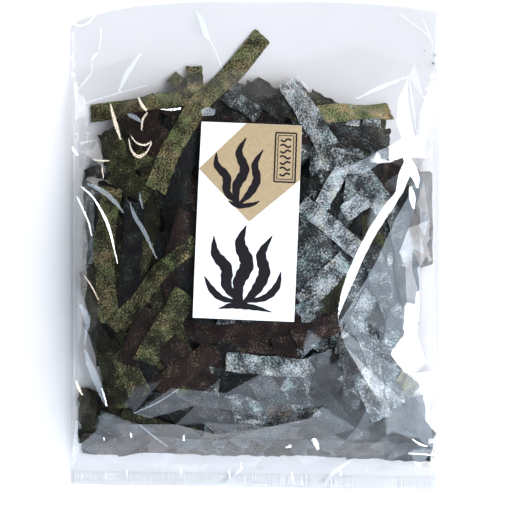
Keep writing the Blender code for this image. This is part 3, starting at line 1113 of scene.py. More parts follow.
    def random_line(self) -> Array:
        """A gently bent middle line somewhere in the bag, mostly lengthwise at the left.

        Returns:
            Plan points, one a row.
        """
        x = self.chance.uniform(-1.0, 1.0) * self.reach_x
        y = self.chance.uniform(self.form.contents_bottom_y, self.reach_y)
        turn = self.chance.uniform(0.0, math.pi)
        if x < self.lengthwise_side and self.chance.random() < self.lengthwise_share:
            turn = math.pi / 2.0 + self.chance.normal(0.0, 0.45)
        reach = 0.5 * self.chance.uniform(*self.length_shares) * self.sheet_length
        along = np.array([math.cos(turn), math.sin(turn)])
        aside = np.array([-along[1], along[0]]) * self.chance.normal(0.0, self.bend) * reach
        middle = np.array([x, y])
        return curve_through(np.array([middle - along * reach, middle + aside, middle + along * reach]),
                             self.loose_step)

    def kind_at(self, x: float, y: float) -> NoriKind:
        """Kind of a loose strip: mostly olive on the left, the kind with painted sheen on the right and at
        the foot, dark between.

        Args:
            x: x of its middle.
            y: y of its middle.

        Returns:
            The kind.
        """
        draw = self.chance.random()
        if x < self.olive_side:
            kinds, most = (O, D, B), self.most_at_side
        elif x > self.sheen_side or y < self.sheen_foot:
            kinds, most = (S, D, O), self.most_elsewhere
        else:
            kinds, most = (D, B, O), self.most_elsewhere
        return kinds[int(draw >= most) + int(draw >= self.second_until)]

    def tone_of(self, kind: NoriKind, light: float) -> Array:
        """A strip's base colour, scaled by its lightness, and last how much painted sheen it shows.

        Args:
            kind: the strip's kind.
            light: how light it is, its own tone and painted lighting in one; 1 is usual.

        Returns:
            Red, green, blue and painted sheen.
        """
        low, high = (np.array(tone) for tone in NORI[kind].tones)
        colour = (low + (high - low) * self.chance.random()) * (light if light < 1.0 else 0.6 + 0.4 * light)
        sheen_share = self.chance.uniform(*NORI[kind].painted_sheens) + self.painted_sheen_per_light * (light - 1.0)
        return np.append(colour, np.clip(sheen_share, *self.painted_sheen_limits))

    def lay(self, spots: Array, z: Array, kind: NoriKind, light: float) -> None:
        """Keep a strip, after it is written into the height map."""
        self.strips.append(Strip(np.dstack([spots, z]), kind, self.tone_of(kind, light)))

    def lay_loose(self) -> None:
        """Lay the strips that mostly lie hidden, where the heap is still lowest."""
        for _ in range(self.count):
            best, most = None, -1.0
            for _ in range(self.tries):
                line = self.random_line()
                spots = self.plan_grid(line, self.chance.uniform(*self.widths), self.loose_columns)
                if not np.all(self.sample(self.within, spots) > 0.5):
                    continue
                room = float(np.mean(self.sample(self.ceiling - self.heights, spots)))
                if room > most:
                    best, most = spots, room
            if best is None or most < self.least_room:
                continue
            deep = float(np.clip(most / self.deep_room, 0.0, 1.0))
            z = self.drape(best, 0.25 * MM + self.deep_gap * deep, (0.35 + 1.4 * deep) * MM, 5)
            z = self.keep_under_film(best, z, self.proud_loose)
            self.settle(best, z)
            kind = self.kind_at(*best[len(best) // 2, self.loose_columns // 2])
            self.lay(best, z, kind, self.chance.uniform(0.6, 1.1))

    def lay_placed(self) -> None:
        """Lay the strips that show on top, the deepest first."""
        # Each placed strip's lightness paints in how lit it looks: its tone and its painted sheen rise with
        # it.
        for width, kind, light, *numbers in PLACED:
            path = in_groups(numbers, 2)
            rise = self.sample(self.ceiling, np.array([PHOTO.plan(px, py) for px, py in path]))
            points = np.array([PHOTO.plan(px, py, float(z)) for (px, py), z in zip(path, rise)])
            spots = self.plan_grid(curve_through(points, self.placed_step), width * MM, self.placed_columns)
            z = self.keep_under_film(spots, self.drape(spots, 0.5 * MM, 0.5 * MM, 4), self.proud)
            z = np.maximum(z, self.sample(self.heights, spots) + self.clear)
            z = np.minimum(z, self.sample(self.ceiling, spots) + self.headroom - self.film_gap)
            self.settle(spots, z)
            self.lay(spots, z, kind, light)

    def place_in_grain(self, points: Array, number: int) -> Array:
        """Places of a strip's points in the material's grain, turned and moved by its number.

        Args:
            points: the strip's grid of points.
            number: the strip's number.

        Returns:
            The places of its upper points, then of its lower ones.
        """
        rows, columns, _ = points.shape
        lengths = np.linalg.norm(np.diff(points[:, columns // 2], axis=0), axis=1)
        aside, run = np.meshgrid(np.linspace(0.0, np.linalg.norm(points[0, -1] - points[0, 0]), columns),
                                 np.append(0.0, np.cumsum(lengths)))
        c, s = math.cos(self.grain_turn * number), math.sin(self.grain_turn * number)
        spot = np.stack([run * c - aside * s + self.grain_shift[0] * number,
                         run * s + aside * c + self.grain_shift[1] * number], -1).reshape(-1, 2)
        return np.vstack([spot, spot + self.grain_under])

    def mesh_of(self, kind: NoriKind) -> Thing:
        """All strips of one kind as one piece of thin closed solids.

        Args:
            kind: the kind.

        Returns:
            The piece.
        """
        parts, tones, places = [], [], []
        for number, strip in enumerate(self.strips):
            if strip.kind is not kind:
                continue
            half = sheet_normals(strip.points) * self.thickness / 2.0
            solid = np.concatenate([strip.points + half, strip.points - half]).reshape(-1, 3)
            parts.append((solid, thin_solid_faces(*strip.points.shape[:2])))
            tones.append(np.repeat(strip.tone[None, :], len(solid), axis=0))
            places.append(self.place_in_grain(strip.points, number))
        verts, faces = joined(parts)
        thing = mesh_object("nori_" + kind.value, verts, faces, NORI[kind])
        # The tone layer holds each strip's colour and, in its alpha, its painted sheen.
        layer = thing.data.color_attributes.new("tone", "FLOAT_COLOR", "POINT")
        layer.data.foreach_set("color", np.vstack(tones).astype(np.float32).ravel())
        spread = thing.data.uv_layers.new(name="strip")
        spread.data.foreach_set("uv", np.vstack(places)[faces.ravel()].astype(np.float32).ravel())
        return thing

    def build(self) -> list[Thing]:
        """Lay every strip and make one piece for each kind.

        Returns:
            The pieces.
        """
        self.lay_loose()
        self.lay_placed()
        LOG.info("%d strips laid", len(self.strips))
        return [self.mesh_of(kind) for kind in NoriKind]


# ------ the film

# Creases in the film: columns and rows of picture points, each with the film's lift there in mm.
CREASES = (
    # the plateau beyond the big fold on the right, and the fold in the upper right corner
    (431, 174, 2, 429, 220, 2.5), (408, 77, 6, 398, 100, 4, 396, 124, 4),
    (408, 77, 6, 385, 90, 1, 362, 96, 0), (408, 77, 6, 424, 100, 2, 428, 132, 2),
    # edges of the hazy facets on the right and along the bottom
    (338, 322, 2, 345, 346, 3, 374, 394, 3.5, 386, 436, 1.5),
    (343, 330, 0, 372, 352, 0, 402, 400, 0, 416, 436, 0),
    (134, 413, 0.5, 172, 388, 3.5, 226, 393, 3, 260, 374, 3.5, 300, 360, 3, 334, 348, 2),
    (150, 418, 0, 196, 405, 0, 244, 412, 0, 286, 392, 0, 330, 378, 0),
    (104, 412, 1, 132, 424, 3, 176, 424, 3, 216, 434, 2.5, 262, 428, 3, 310, 418, 3, 356, 428, 2),
)


@dataclass(frozen=True)
class Pleat:
    """A narrow flat fold: its crest as a crease, then lines beside it, each after the tilt down to it."""

    crest: tuple[float, ...]
    steps: tuple[tuple[float, ...], ...]


PLEATS = (
    # the big fold on the right, with the level ground at its foot, and its arm
    Pleat((405, 168, 6.6, 397, 190, 3.4, 381, 210, 2.0, 368, 230, 1.6, 357, 252, 1.6, 347, 274, 2.0,
           340, 296, 2.0, 338, 314, 1.6),
          ((22, 412, 171, 403, 193, 389.5, 214, 376.5, 234, 365, 256, 355.5, 278, 346, 299, 339.2, 315),
           (-3, 418, 174, 408, 197, 396, 218, 386, 239, 376, 262, 364, 283, 352, 303, 342, 318),
           (14, 424, 180, 417, 204, 409, 228, 400, 252, 390, 276, 378, 298, 364, 318, 349, 330))),
    Pleat((366, 158, 3.0, 378, 151, 3.4, 390, 146, 4.0, 402, 139, 4.5),
          ((13, 367, 161, 380, 163, 391, 162, 404, 157),)),
    # the bright stretch beyond the contents on the right
    Pleat((405, 268, 1.5, 406, 300, 1.8, 405, 335, 2, 404, 372, 1.5),
          ((22, 421, 268, 421, 300, 418, 335, 413, 374),)),
)


@dataclass
class CreaseNet:
    """The upper film as a net of flat facets: the given creases, and scattered points between them."""

    form: BagForm
    label: LabelPlace
    spacing: tuple[float, float] = (13.0 * MM, 30.0 * MM)
    lift: float = 1.0 * MM
    lift_right: float = 1.4 * MM
    lift_edge: float = 0.8 * MM
    edge_clear: float = 6.0 * MM
    crease_clear: float = 7.0 * MM
    given_clear: float = 8.0 * MM
    tries: int = 2600
    seed: int = 17
    side_rows: tuple[float, ...] = (3.5 * MM, 11.0 * MM, 23.0 * MM)
    side_step: float = 21.0 * MM
    side_reach: float = 0.126
    scatter_reach: tuple[float, float] = (0.158, 0.208)
    outer: tuple[float, float] = (0.17, 0.22)
    right_fade: tuple[float, float] = (20.0 * MM, 90.0 * MM)
    flap_fade: tuple[float, float] = (115.0 * MM, 140.0 * MM)
    flap_calm: float = 0.85
    foot_start: float = 8.0 * MM
    top_end: float = 25.0 * MM

    def __post_init__(self) -> None:
        """Place the points, join them into triangles and set their heights."""
        self.points, self.lifts, self.edges = [], [], []
        for numbers in CREASES:
            self.add_line(*self.crest(numbers))
        for pleat in PLEATS:
            self.add_pleat(pleat)
        self.scatter(np.random.default_rng(self.seed))
        for x in np.linspace(-self.outer[0], self.outer[0], 9):
            for y in (-self.outer[1], self.outer[1]):
                self.points.append((x, y))
                self.lifts.append(0.0)
        found = delaunay_2d_cdt([Vector(p) for p in self.points], self.edges, [], 0, 1e-6, True)
        self.places = np.array([tuple(v) for v in found[0]])
        self.edges = [tuple(e) for e in found[1]]
        origins = [min(ids) if len(ids) else self.nearest(v) for ids, v in zip(found[3], self.places)]
        self.tops = self.form.height(*self.places.T) + np.array(self.lifts)[origins]
        self.triangles = [list(t) for t in found[2]]

    def nearest(self, spot: Array) -> int:
        """Number of the given point next to a spot, where two edges cross."""
        return int(np.argmin(np.linalg.norm(np.array(self.points) - spot, axis=1)))

    def crest(self, numbers: tuple[float, ...]) -> tuple[list[Array], list[float]]:
        """Plan points and lifts in metres of a crease's picture points with lifts in mm.

        Args:
            numbers: column, row and lift of each picture point.

        Returns:
            The plan points and the lifts.
        """
        path = in_groups(numbers, 3)
        spots = [np.array(PHOTO.plan(px, py, float(self.form.height(*PHOTO.plan(px, py))) + lift * MM))
                 for px, py, lift in path]
        return spots, [lift * MM for _, _, lift in path]

    def add_line(self, spots: list[Array], lifts: list[float]) -> None:
        """Add points with their lifts over the smooth form, joined by edges.

        Args:
            spots: the plan points.
            lifts: their lifts in metres.
        """
        first = len(self.points)
        self.points += [tuple(spot) for spot in spots]
        self.lifts += lifts
        self.edges += [(k, k + 1) for k in range(first, len(self.points) - 1)]

    def add_pleat(self, pleat: Pleat) -> None:
        """Add a pleat's lines, each a given tilt below the one before.

        Args:
            pleat: the pleat.
        """
        line, lifts = self.crest(pleat.crest)
        self.add_line(line, lifts)
        heights = [float(self.form.height(*spot)) + lift for spot, lift in zip(line, lifts)]
        for tilt, *numbers in pleat.steps:
            beside = [np.array(PHOTO.plan(*point, height))
                      for point, height in zip(in_groups(numbers, 2), heights)]
            heights = [height - math.tan(math.radians(tilt)) * float(np.linalg.norm(there - here))
                       for here, there, height in zip(line, beside, heights)]
            line = beside
            lifts = [height - float(self.form.height(*spot)) for spot, height in zip(line, heights)]
            self.add_line(line, lifts)

    def along_edges(self) -> Array:
        """Points spread along all the edges, which scattered points keep clear of."""
        shares, points = np.linspace(0.0, 1.0, 7)[:, None], np.array(self.points)
        return np.vstack([points[a] * (1.0 - shares) + points[b] * shares for a, b in self.edges])

    def scatter(self, chance: np.random.Generator) -> None:
        """Add the points along the edges and the scattered ones, clear of the creases.

        Args:
            chance: where the random numbers are drawn.
        """
        guard = self.along_edges()
        for spot in self.edge_points(chance):
            if np.linalg.norm(guard - spot, axis=1).min() > self.edge_clear:
                self.points.append(tuple(spot))
                self.lifts.append(self.lift_edge * chance.random())
        given = len(self.points)
        for _ in range(self.tries):
            spot = chance.uniform(-1.0, 1.0, 2) * np.array(self.scatter_reach)
            apart = self.spacing[0] + (self.spacing[1] - self.spacing[0]) * chance.random() ** 1.6
            gaps = np.linalg.norm(np.array(self.points) - spot, axis=1)
            near_crease = np.linalg.norm(guard - spot, axis=1).min() < self.crease_clear
            near_given = gaps[:given].min() < self.given_clear
            if near_crease or near_given or gaps[given:].min(initial=1.0) < apart:
                continue
            self.points.append(tuple(spot))
            most = self.lift + self.lift_right * float(smoothstep(*self.right_fade, spot[0]))
            most *= 1.0 - self.flap_calm * float(smoothstep(*self.flap_fade, spot[1]))
            self.lifts.append(most * chance.random() ** 1.3)

    def edge_points(self, chance: np.random.Generator) -> list[Array]:
        """Rows of points that keep the net round along the side folds and at the foot.

        Args:
            chance: where the random numbers are drawn.

        Returns:
            The plan points.
        """
        spots = []
        foot = self.form.contents_bottom_y
        for row, inward in enumerate(self.side_rows):
            shift = 0.5 * self.side_step * (row % 2)
            last = self.form.contents_top_y - self.top_end
            for y in np.arange(foot + self.foot_start + shift, last, self.side_step):
                for side in (-1.0, 1.0):
                    y_here = y + chance.uniform(-4.0, 4.0) * MM
                    x = side * (float(self.form.half_width(y_here)) - inward * chance.uniform(0.8, 1.2))
                    spots.append(np.array([x, y_here]))
            for x in np.arange(-self.side_reach + shift, self.side_reach, self.side_step):
                x_here = x + chance.uniform(-4.0, 4.0) * MM
                spots.append(np.array([x_here, foot + inward * chance.uniform(0.8, 1.2)]))
        return spots

    def at(self, x: Array, y: Array) -> Array:
        """Height of the film at plan points, flat within each triangle.

        Args:
            x: x of the points.
            y: y of the points.

        Returns:
            The heights.
        """
        smooth = self.form.height(x, y)
        level = smooth.copy()
        for triangle in self.triangles:
            corners = self.places[triangle]
            low, high = corners.min(axis=0), corners.max(axis=0)
            near = np.nonzero((x >= low[0]) & (x <= high[0]) & (y >= low[1]) & (y <= high[1]))
            a, across, along = corners[0], corners[1] - corners[0], corners[2] - corners[0]
            area = across[0] * along[1] - across[1] * along[0]
            if not len(near[0]) or abs(area) < 1e-12:
                continue
            px, py = x[near] - a[0], y[near] - a[1]
            u = (px * along[1] - py * along[0]) / area
            v = (across[0] * py - across[1] * px) / area
            inside = (u >= -1e-6) & (v >= -1e-6) & (u + v <= 1.0 + 1e-6)
            ta, tb, tc = self.tops[triangle]
            level[tuple(index[inside] for index in near)] = ta + u[inside] * (tb - ta) + v[inside] * (tc - ta)
        return smooth + (level - smooth) * self.freedom(x, y)

    def freedom(self, x: Array, y: Array) -> Array:
        """Where the film leaves the smooth form: not at its borders or under the label.

        Args:
            x: x of the points.
            y: y of the points.

        Returns:
            Shares from 0 to 1.
        """
        label = smoothstep(0.0, 8.0 * MM, self.label.outside(x, y))
        side = smoothstep(0.0, 6.0 * MM, self.form.half_width(y) - np.abs(x))
        foot = smoothstep(self.form.seal_band, self.form.seal_band + 9.0 * MM, y - self.form.bottom_edge(x))
        top = smoothstep(1.0 * MM, 14.0 * MM, self.form.top_edge(x) - y)
        return label * side * foot * top


@dataclass
class FilmBag:
    """The closed film: an upper sheet of facets over the strips, and a lower sheet."""

    form: BagForm
    net: CreaseNet
    step: float = 3.2 * MM
    crease_step: float = 2.6 * MM
    sharp: float = math.radians(11.0)
    seed: int = 5
    wave_seed: int = 9
    corner_inset: float = 1.1 * MM
    crease_room: float = 1.5 * MM
    row_share: float = 0.87
    jitter: float = 0.2
    clear_share: float = 0.6
    curl_width: float = 10.0 * MM
    lower_height: float = 0.3 * MM
    lower_wave: float = 0.12 * MM
    wave_lengths: tuple[float, float] = (14.0 * MM, 60.0 * MM)
    least: float = 0.1 * MM

    def outline(self) -> Array:
        """Points round the bag's edge, evenly spaced, counter-clockwise.

        Returns:
            Plan points, one a row.
        """
        share = np.linspace(-1.0, 1.0, round(2.0 * self.form.flap_half_width / self.step) + 1)
        along = np.linspace(0.0, 1.0, round(2.0 * self.form.half_length / self.step) + 1)
        across, up = np.ones(len(share) - 1), np.ones(len(along) - 1)
        return self.form.spread(np.concatenate([share[:-1], up, share[:0:-1], -up]),
                                np.concatenate([0.0 * across, along[:-1], across, along[:0:-1]]))

    def room_around(self, x: float, y: float) -> float:
        """Distance of a plan point from the nearest of the bag's side folds and welds.

        Args:
            x: x of the point.
            y: y of the point.

        Returns:
            The distance, below 0 beyond them.
        """
        side = float(self.form.half_width(y)) - abs(x)
        foot = y - float(self.form.bottom_edge(x)) - self.form.seal_band - self.form.seal_slope
        top = float(self.form.top_edge(x)) - y - self.form.top_weld - self.form.seal_slope
        return min(side, foot, top)

    def crease_lines(self) -> list[Array]:
        """Lines that the mesh follows: facet edges and the welds' edges.

        Returns:
            Plan points of each line.
        """
        lines = []
        for a, b in (self.net.places[list(edge)] for edge in self.net.edges):
            if min(self.room_around(*a), self.room_around(*b)) > self.crease_room:
                count = max(1, round(float(np.linalg.norm(b - a)) / self.crease_step))
                lines.append(a + (b - a) * np.linspace(0.0, 1.0, count + 1)[:, None])
        reach = self.form.flap_half_width - 2.0 * MM
        x = np.linspace(-reach, reach, 110)
        for inward in (self.form.seal_band, self.form.seal):
            lines.append(np.stack([x, self.form.bottom_edge(x) + inward], -1))
        for inward in (self.form.top_weld, self.form.top_weld + self.form.seal_slope):
            lines.append(np.stack([x, self.form.top_edge(x) - inward], -1))
        return lines

    def fill_points(self, points: list[tuple[float, float]]) -> None:
        """Add points between the given ones, in slightly uneven rows, and one in each corner.

        Args:
            points: the outline's and the creases' points, added to.
        """
        taken = KDTree(len(points))
        for number, (x, y) in enumerate(points):
            taken.insert((x, y, 0.0), number)
        taken.balance()
        chance = np.random.default_rng(self.seed)
        form, reach = self.form, self.form.flap_half_width
        rows = np.arange(-form.half_length, form.half_length, self.step * self.row_share)
        for number, y in enumerate(rows):
            for x in np.arange(-reach + 0.5 * self.step * (number % 2), reach, self.step):
                spot = np.array([x, y]) + chance.uniform(-self.jitter, self.jitter, 2) * self.step
                inside = (abs(spot[0]) < float(form.half_width(spot[1]))
                          and form.bottom_edge(spot[0]) < spot[1] < form.top_edge(spot[0]))
                if inside and taken.find((*spot, 0.0))[2] > self.clear_share * self.step:
                    points.append(tuple(spot))
        for side in (-1.0, 1.0):
            for edge, inset in ((form.bottom_edge, self.corner_inset), (form.top_edge, -self.corner_inset)):
                y = float(edge(side * reach)) + inset
                points.append((side * (float(form.half_width(y)) - self.corner_inset), y))

    def plan_mesh(self) -> tuple[Array, Array, Array]:
        """Triangles that fill the bag's outline and follow its creases.

        Returns:
            Plan points, triangles, and which points lie on the outline.
        """
        points, edges = [tuple(p) for p in self.outline()], []
        rim_count = len(points)
        for line in self.crease_lines():
            first = len(points)
            points += [tuple(p) for p in line]
            edges += [(k, k + 1) for k in range(first, len(points) - 1)]
        self.fill_points(points)
        found = delaunay_2d_cdt([Vector(p) for p in points], edges, [list(range(rim_count))], 1, 1e-6, True)
        rim = np.array([any(origin < rim_count for origin in ids) for ids in found[3]])
        return np.array([tuple(v) for v in found[0]]), np.array([tuple(t) for t in found[2]]), rim

    def build(self) -> Thing:
        """Join both sheets along their border into one closed bag of film.

        Returns:
            The piece.
        """
        plan, triangles, rim = self.plan_mesh()
        x, y = plan.T
        border = self.form.height(x, y) - 0.5 * self.form.film_thickness
        upper = np.where(rim, border, self.net.at(x, y))
        inward = self.form.half_width(y) - np.abs(x)
        curl = self.form.rim_height(y) * (1.0 - smoothstep(0.0, self.curl_width, inward))
        flat = self.lower_height + self.lower_wave * wave_noise(self.wave_seed, self.wave_lengths, x, y)
        lower = np.minimum(np.maximum(self.least, flat + curl), border - self.least)
        under = np.arange(len(plan))
        under[~rim] = len(plan) + np.arange(np.count_nonzero(~rim))
        verts = np.vstack([np.column_stack([plan, upper]), np.column_stack([plan, lower])[~rim]])
        a, b, c = (plan[triangles[:, k]] for k in range(3))
        area = (b[:, 0] - a[:, 0]) * (c[:, 1] - a[:, 1]) - (b[:, 1] - a[:, 1]) * (c[:, 0] - a[:, 0])
        triangles[area < 0.0] = triangles[area < 0.0][:, ::-1]
        faces = np.vstack([triangles, under[triangles][:, ::-1]])
        return mesh_object("film", verts, faces, FilmFinish(), "clear_film", self.sharp)


# ------ small folds in the film

class Aim(Enum):
    """Which part of the surroundings a fold mirrors to the camera: azimuth and zenith in degrees."""

    BRIGHT = (-12.0, 50.5)
    WARM = (-138.0, 74.0)
    DIM = (-20.0, 20.5)


BRIGHT, WARM, DIM = Aim

# Small flat folds: what each mirrors, then columns, rows and widths of picture points.
FOLDS = (
    # the flap
    (DIM, 196, 11, 2, 202, 22, 8, 206, 34, 7, 211, 42, 2, 218, 58, 1.5, 223, 71, 1),
    (BRIGHT, 71, 22, 1, 79, 26, 1.5, 86, 24.5, 1, 93, 18, 1.2, 95, 14, 0.8),
    (DIM, 101, 27, 1, 101, 38, 2.2, 99, 50, 1), (BRIGHT, 92, 60, 0.8, 94, 57, 1.3, 97, 53, 0.8),
    (DIM, 75, 92, 1, 85, 82, 1.6, 92, 72, 1.2, 92, 62, 1), (DIM, 141, 53, 2, 128, 73, 6, 119, 93, 2),
    (DIM, 82, 105, 1, 110, 96, 1.6, 147, 86, 1), (DIM, 400, 15, 1, 415, 25, 2, 431, 38, 1),
    (DIM, 423, 20, 1, 428, 32, 2, 433, 44, 1), (DIM, 356, 99, 2, 380, 88, 5, 408, 77, 2),
    (DIM, 408, 77, 1, 412, 100, 2.4, 416, 132, 1),
    # the pocket at the upper left
    (WARM, 111, 104, 1, 113, 113, 4, 117, 127, 5, 121, 140, 1.5),
    (WARM, 139, 98, 2, 142, 105, 4, 147, 111, 3), (DIM, 128, 115, 3, 134, 117, 6, 141, 122, 3),
    (WARM, 148, 113, 2, 143, 120, 2.6, 142, 131, 1.2),
    (WARM, 129, 139, 1, 132, 151, 2.4, 139, 157, 4, 147, 152, 2.6, 152, 143, 1.2),
    (WARM, 131, 136, 0.8, 137, 143, 2, 145, 145.5, 2.8, 152, 142, 2),
    (BRIGHT, 161, 110, 0.8, 171, 110, 2.2, 181, 109, 3), (DIM, 202, 114, 7, 208, 112, 11, 215, 113, 7),
    (DIM, 291, 79, 0.8, 298, 88, 1.4, 305, 97, 0.8), (DIM, 297, 76, 0.8, 304, 84, 1.2, 310, 92, 0.8),
    (DIM, 286, 83, 0.8, 293, 92, 1.2, 299, 100, 0.8), (BRIGHT, 72, 147, 1.5, 75, 151, 3, 79, 156, 1.5),
    (WARM, 94, 160, 1, 102, 161, 2.2, 110, 161, 1.2), (WARM, 102.5, 166, 1, 103, 172, 2, 104, 179, 1),
    # where the big fold on the right meets its arm
    (BRIGHT, 402, 150, 5, 406, 160, 9, 411, 170, 13, 416, 180, 8, 417, 188, 2),
    (BRIGHT, 404, 164, 4, 401, 174, 6, 399, 184, 6, 397, 192, 4),
    (BRIGHT, 410, 187, 3, 412, 197, 8, 413, 209, 2),
    # down the left side
    (DIM, 88, 184, 1.5, 97, 188, 5, 107, 194, 6, 116, 203, 5, 124, 213, 1.2),
    (BRIGHT, 82, 187, 1, 94, 198, 1.8, 105, 217, 3.4, 110, 230, 3, 114, 246, 2.2, 118, 264, 1),
    (DIM, 130, 203, 1.2, 135, 216, 4.6, 144, 231, 5, 151, 246, 3.4, 157, 259, 1),
    (DIM, 140, 193, 1, 141, 201, 3, 143, 209, 1),
    (BRIGHT, 78, 197, 1, 85, 212, 1.6, 90, 225, 1.8, 92, 236, 1),
    (WARM, 85, 275, 0.8, 92, 286, 1.6, 99, 300, 1), (DIM, 81, 304, 3, 88, 318, 8, 87, 332, 3, 85, 344, 1.5),
    (DIM, 85, 349, 2, 90, 362, 7, 96, 377, 9, 102, 393, 7, 107, 406, 2),
    (BRIGHT, 102, 388, 0.8, 105, 397, 1.6, 107, 406, 1), (WARM, 77, 380, 2, 79, 387, 4.5, 83, 395, 2),
    # along the bottom
    (DIM, 134, 413, 1, 158, 402, 2, 178, 389, 1.2), (DIM, 140, 424, 1, 152, 434, 2, 168, 446, 1),
    (BRIGHT, 131, 432, 1, 132, 437, 1.8), (BRIGHT, 104, 437, 1, 105, 440, 1.8),
    (BRIGHT, 184, 434, 1, 184, 440, 1.8), (BRIGHT, 286, 447, 2, 291, 445, 3.4),
    (BRIGHT, 313, 438, 4, 316, 443, 6, 318, 449, 2), (BRIGHT, 412, 439, 1, 420, 444, 2.4, 427, 446, 1),
    (BRIGHT, 408, 453, 1, 422, 454, 2, 437, 455, 1.4), (DIM, 220, 485, 2, 230, 479, 5, 243, 467, 2),
    (DIM, 323, 486, 2, 336, 470, 5, 352, 460, 2),
    # flecks along the weld
    (BRIGHT, 81, 473, 0.6, 82, 479, 0.8), (BRIGHT, 105, 471, 0.6, 106, 477, 0.8),
    (BRIGHT, 127, 470, 0.6, 127, 476, 0.7), (BRIGHT, 181, 468, 0.6, 181, 475, 0.7),
    (BRIGHT, 229, 470, 0.6, 230, 478, 0.9), (BRIGHT, 241, 462, 0.6, 242, 469, 0.8),
    (BRIGHT, 292, 472, 0.6, 293, 482, 0.9), (BRIGHT, 340, 470, 0.6, 341, 476, 0.7),
)


@dataclass
class FilmFolds:
    """Small crinkled folds that lie on the film, each a row of short flat facets."""

    net: CreaseNet
    step: float = 2.6 * MM
    rise: float = 0.35 * MM
    thickness: float = 0.08 * MM
    half_share: float = 0.4
    gap: float = 0.06
    most: float = 2.4 * MM

    def facet_normal(self, spot: Array, aim: Aim) -> Array:
        """The normal that mirrors the aim to the camera from a spot.

        Args:
            spot: the spot.
            aim: what is mirrored.

        Returns:
            The unit normal.
        """
        view = np.array([0.0, PHOTO.camera_y, PHOTO.camera_height]) - spot
        normal = view / np.linalg.norm(view) + np.array(direction(*aim.value))
        return normal / np.linalg.norm(normal)

    def facets(self, aim: Aim, path: Path) -> list[Part]:
        """Thin closed slips of film along a fold.

        Args:
            aim: what the fold mirrors.
            path: its picture points, each with its width in pixels.

        Returns:
            Corners and faces of each slip.
        """
        points = []
        for px, py, wide in path:
            top = float(self.net.at(*np.array(PHOTO.plan(px, py))[:, None])[0])
            points.append((*PHOTO.plan(px, py, top), wide * PHOTO.scale))
        line = curve_through(np.array(points), self.step)
        sides = band(line[:, :2], line[:, 2:] * self.half_share * np.array([-1.0, 1.0]))
        middles = 0.5 * (line[:-1, :2] + line[1:, :2])
        found = []
        for k, (middle, top) in enumerate(zip(middles, self.net.at(*middles.T) + self.rise)):
            normal = self.facet_normal(np.array([*middle, top]), aim)
            corners = middle + (sides[k:k + 2] - middle) * (1.0 - self.gap)
            lean = -((corners - middle) @ normal[:2]) / normal[2]
            over = self.net.at(corners[..., 0], corners[..., 1]) - (top + lean)
            upper = np.dstack([corners, top + lean + np.clip(over.max(), 0.0, self.most)]).reshape(-1, 3)
            found.append((np.vstack([upper, upper - (0.0, 0.0, self.thickness)]), thin_solid_faces(2, 2)))
        return found

    def build(self) -> Thing:
        """Make all the folds as one piece."""
        slips = [slip for aim, *numbers in FOLDS for slip in self.facets(aim, in_groups(numbers, 3))]
        return mesh_object("film_folds", *joined(slips), FilmFinish(crinkle=0.0), "folded_film", None)


# ------ the label

# Brush strokes on the label: across, along and half-width of its points, in mm from its middle.
BLADES = (
    # a small tuft of seaweed blades in the tan field
    (-8, 12, 1.0, -10, 26, 3.4, -4, 40, 3.8, -9, 54, 2.8, -4, 66, 0.5),
    (-8, 13, 0.9, -17, 22, 3.0, -18, 34, 3.4, -26, 43, 2.6, -27, 53, 0.4),
    (-7, 13, 0.9, 1, 22, 3.0, 6, 33, 3.2, 4, 45, 2.6, 10, 57, 0.4),
    (-16, 15, 0.3, -8, 11.5, 2.0, 3, 13, 1.6, 9, 16, 0.3),
    # a large tuft below it
    (-2, -66, 1.2, -5, -50, 4.6, 1, -34, 5.4, -5, -18, 4.2, -1, -4, 0.5),
    (-3, -65, 1.0, -14, -52, 4.0, -15, -38, 4.6, -24, -27, 3.6, -26, -13, 0.4),
    (-1, -65, 1.0, 9, -54, 4.0, 15, -40, 4.6, 12, -26, 3.8, 20, -11, 0.4),
    (0, -64, 0.8, 16, -60, 2.6, 25, -51, 2.8, 28, -39, 0.4),
    (-3, -64, 0.8, -17, -62, 2.4, -26, -55, 2.6, -32, -45, 0.4),
    (-20, -70, 0.3, -8, -67, 2.6, 8, -68, 2.2, 22, -71, 0.3),
)


@dataclass(frozen=True)
class BarFrame:
    """The small frame of wavy bars in the label's corner, all in mm from the label's middle."""

    x: float = 27.8
    y: float = 51.6
    width: float = 16.5
    height: float = 39.5
    borders: Path = ((0.0, 1.3), (2.1, 0.7))
    bars: int = 7
    first_bar: float = 6.0
    bar_step: float = 4.6
    bar_inset: float = 4.0
    bar_width: float = 1.5
    bend: float = 1.1

    def lines(self) -> list[tuple[Path, float]]:
        """The middle line and the width of every bar.

        Returns:
            Points and width of each bar.
        """
        left, right = self.x - self.width / 2, self.x + self.width / 2
        low, high = self.y - self.height / 2, self.y + self.height / 2
        found = []
        for inset, thick in self.borders:
            a, b, c, d = left + inset, right - inset, low + inset, high - inset
            sides = (((a, c), (a, d)), ((b, c), (b, d)), ((a, c), (b, c)), ((a, d), (b, d)))
            found += [(side, thick) for side in sides]
        for number in range(self.bars):
            level = low + self.first_bar + number * self.bar_step
            bend = self.bend if number % 2 else -self.bend
            found.append((((left + self.bar_inset, level), (self.x - 1.5, level + bend),
                           (self.x + 1.5, level - bend), (right - self.bar_inset, level)), self.bar_width))
        return found


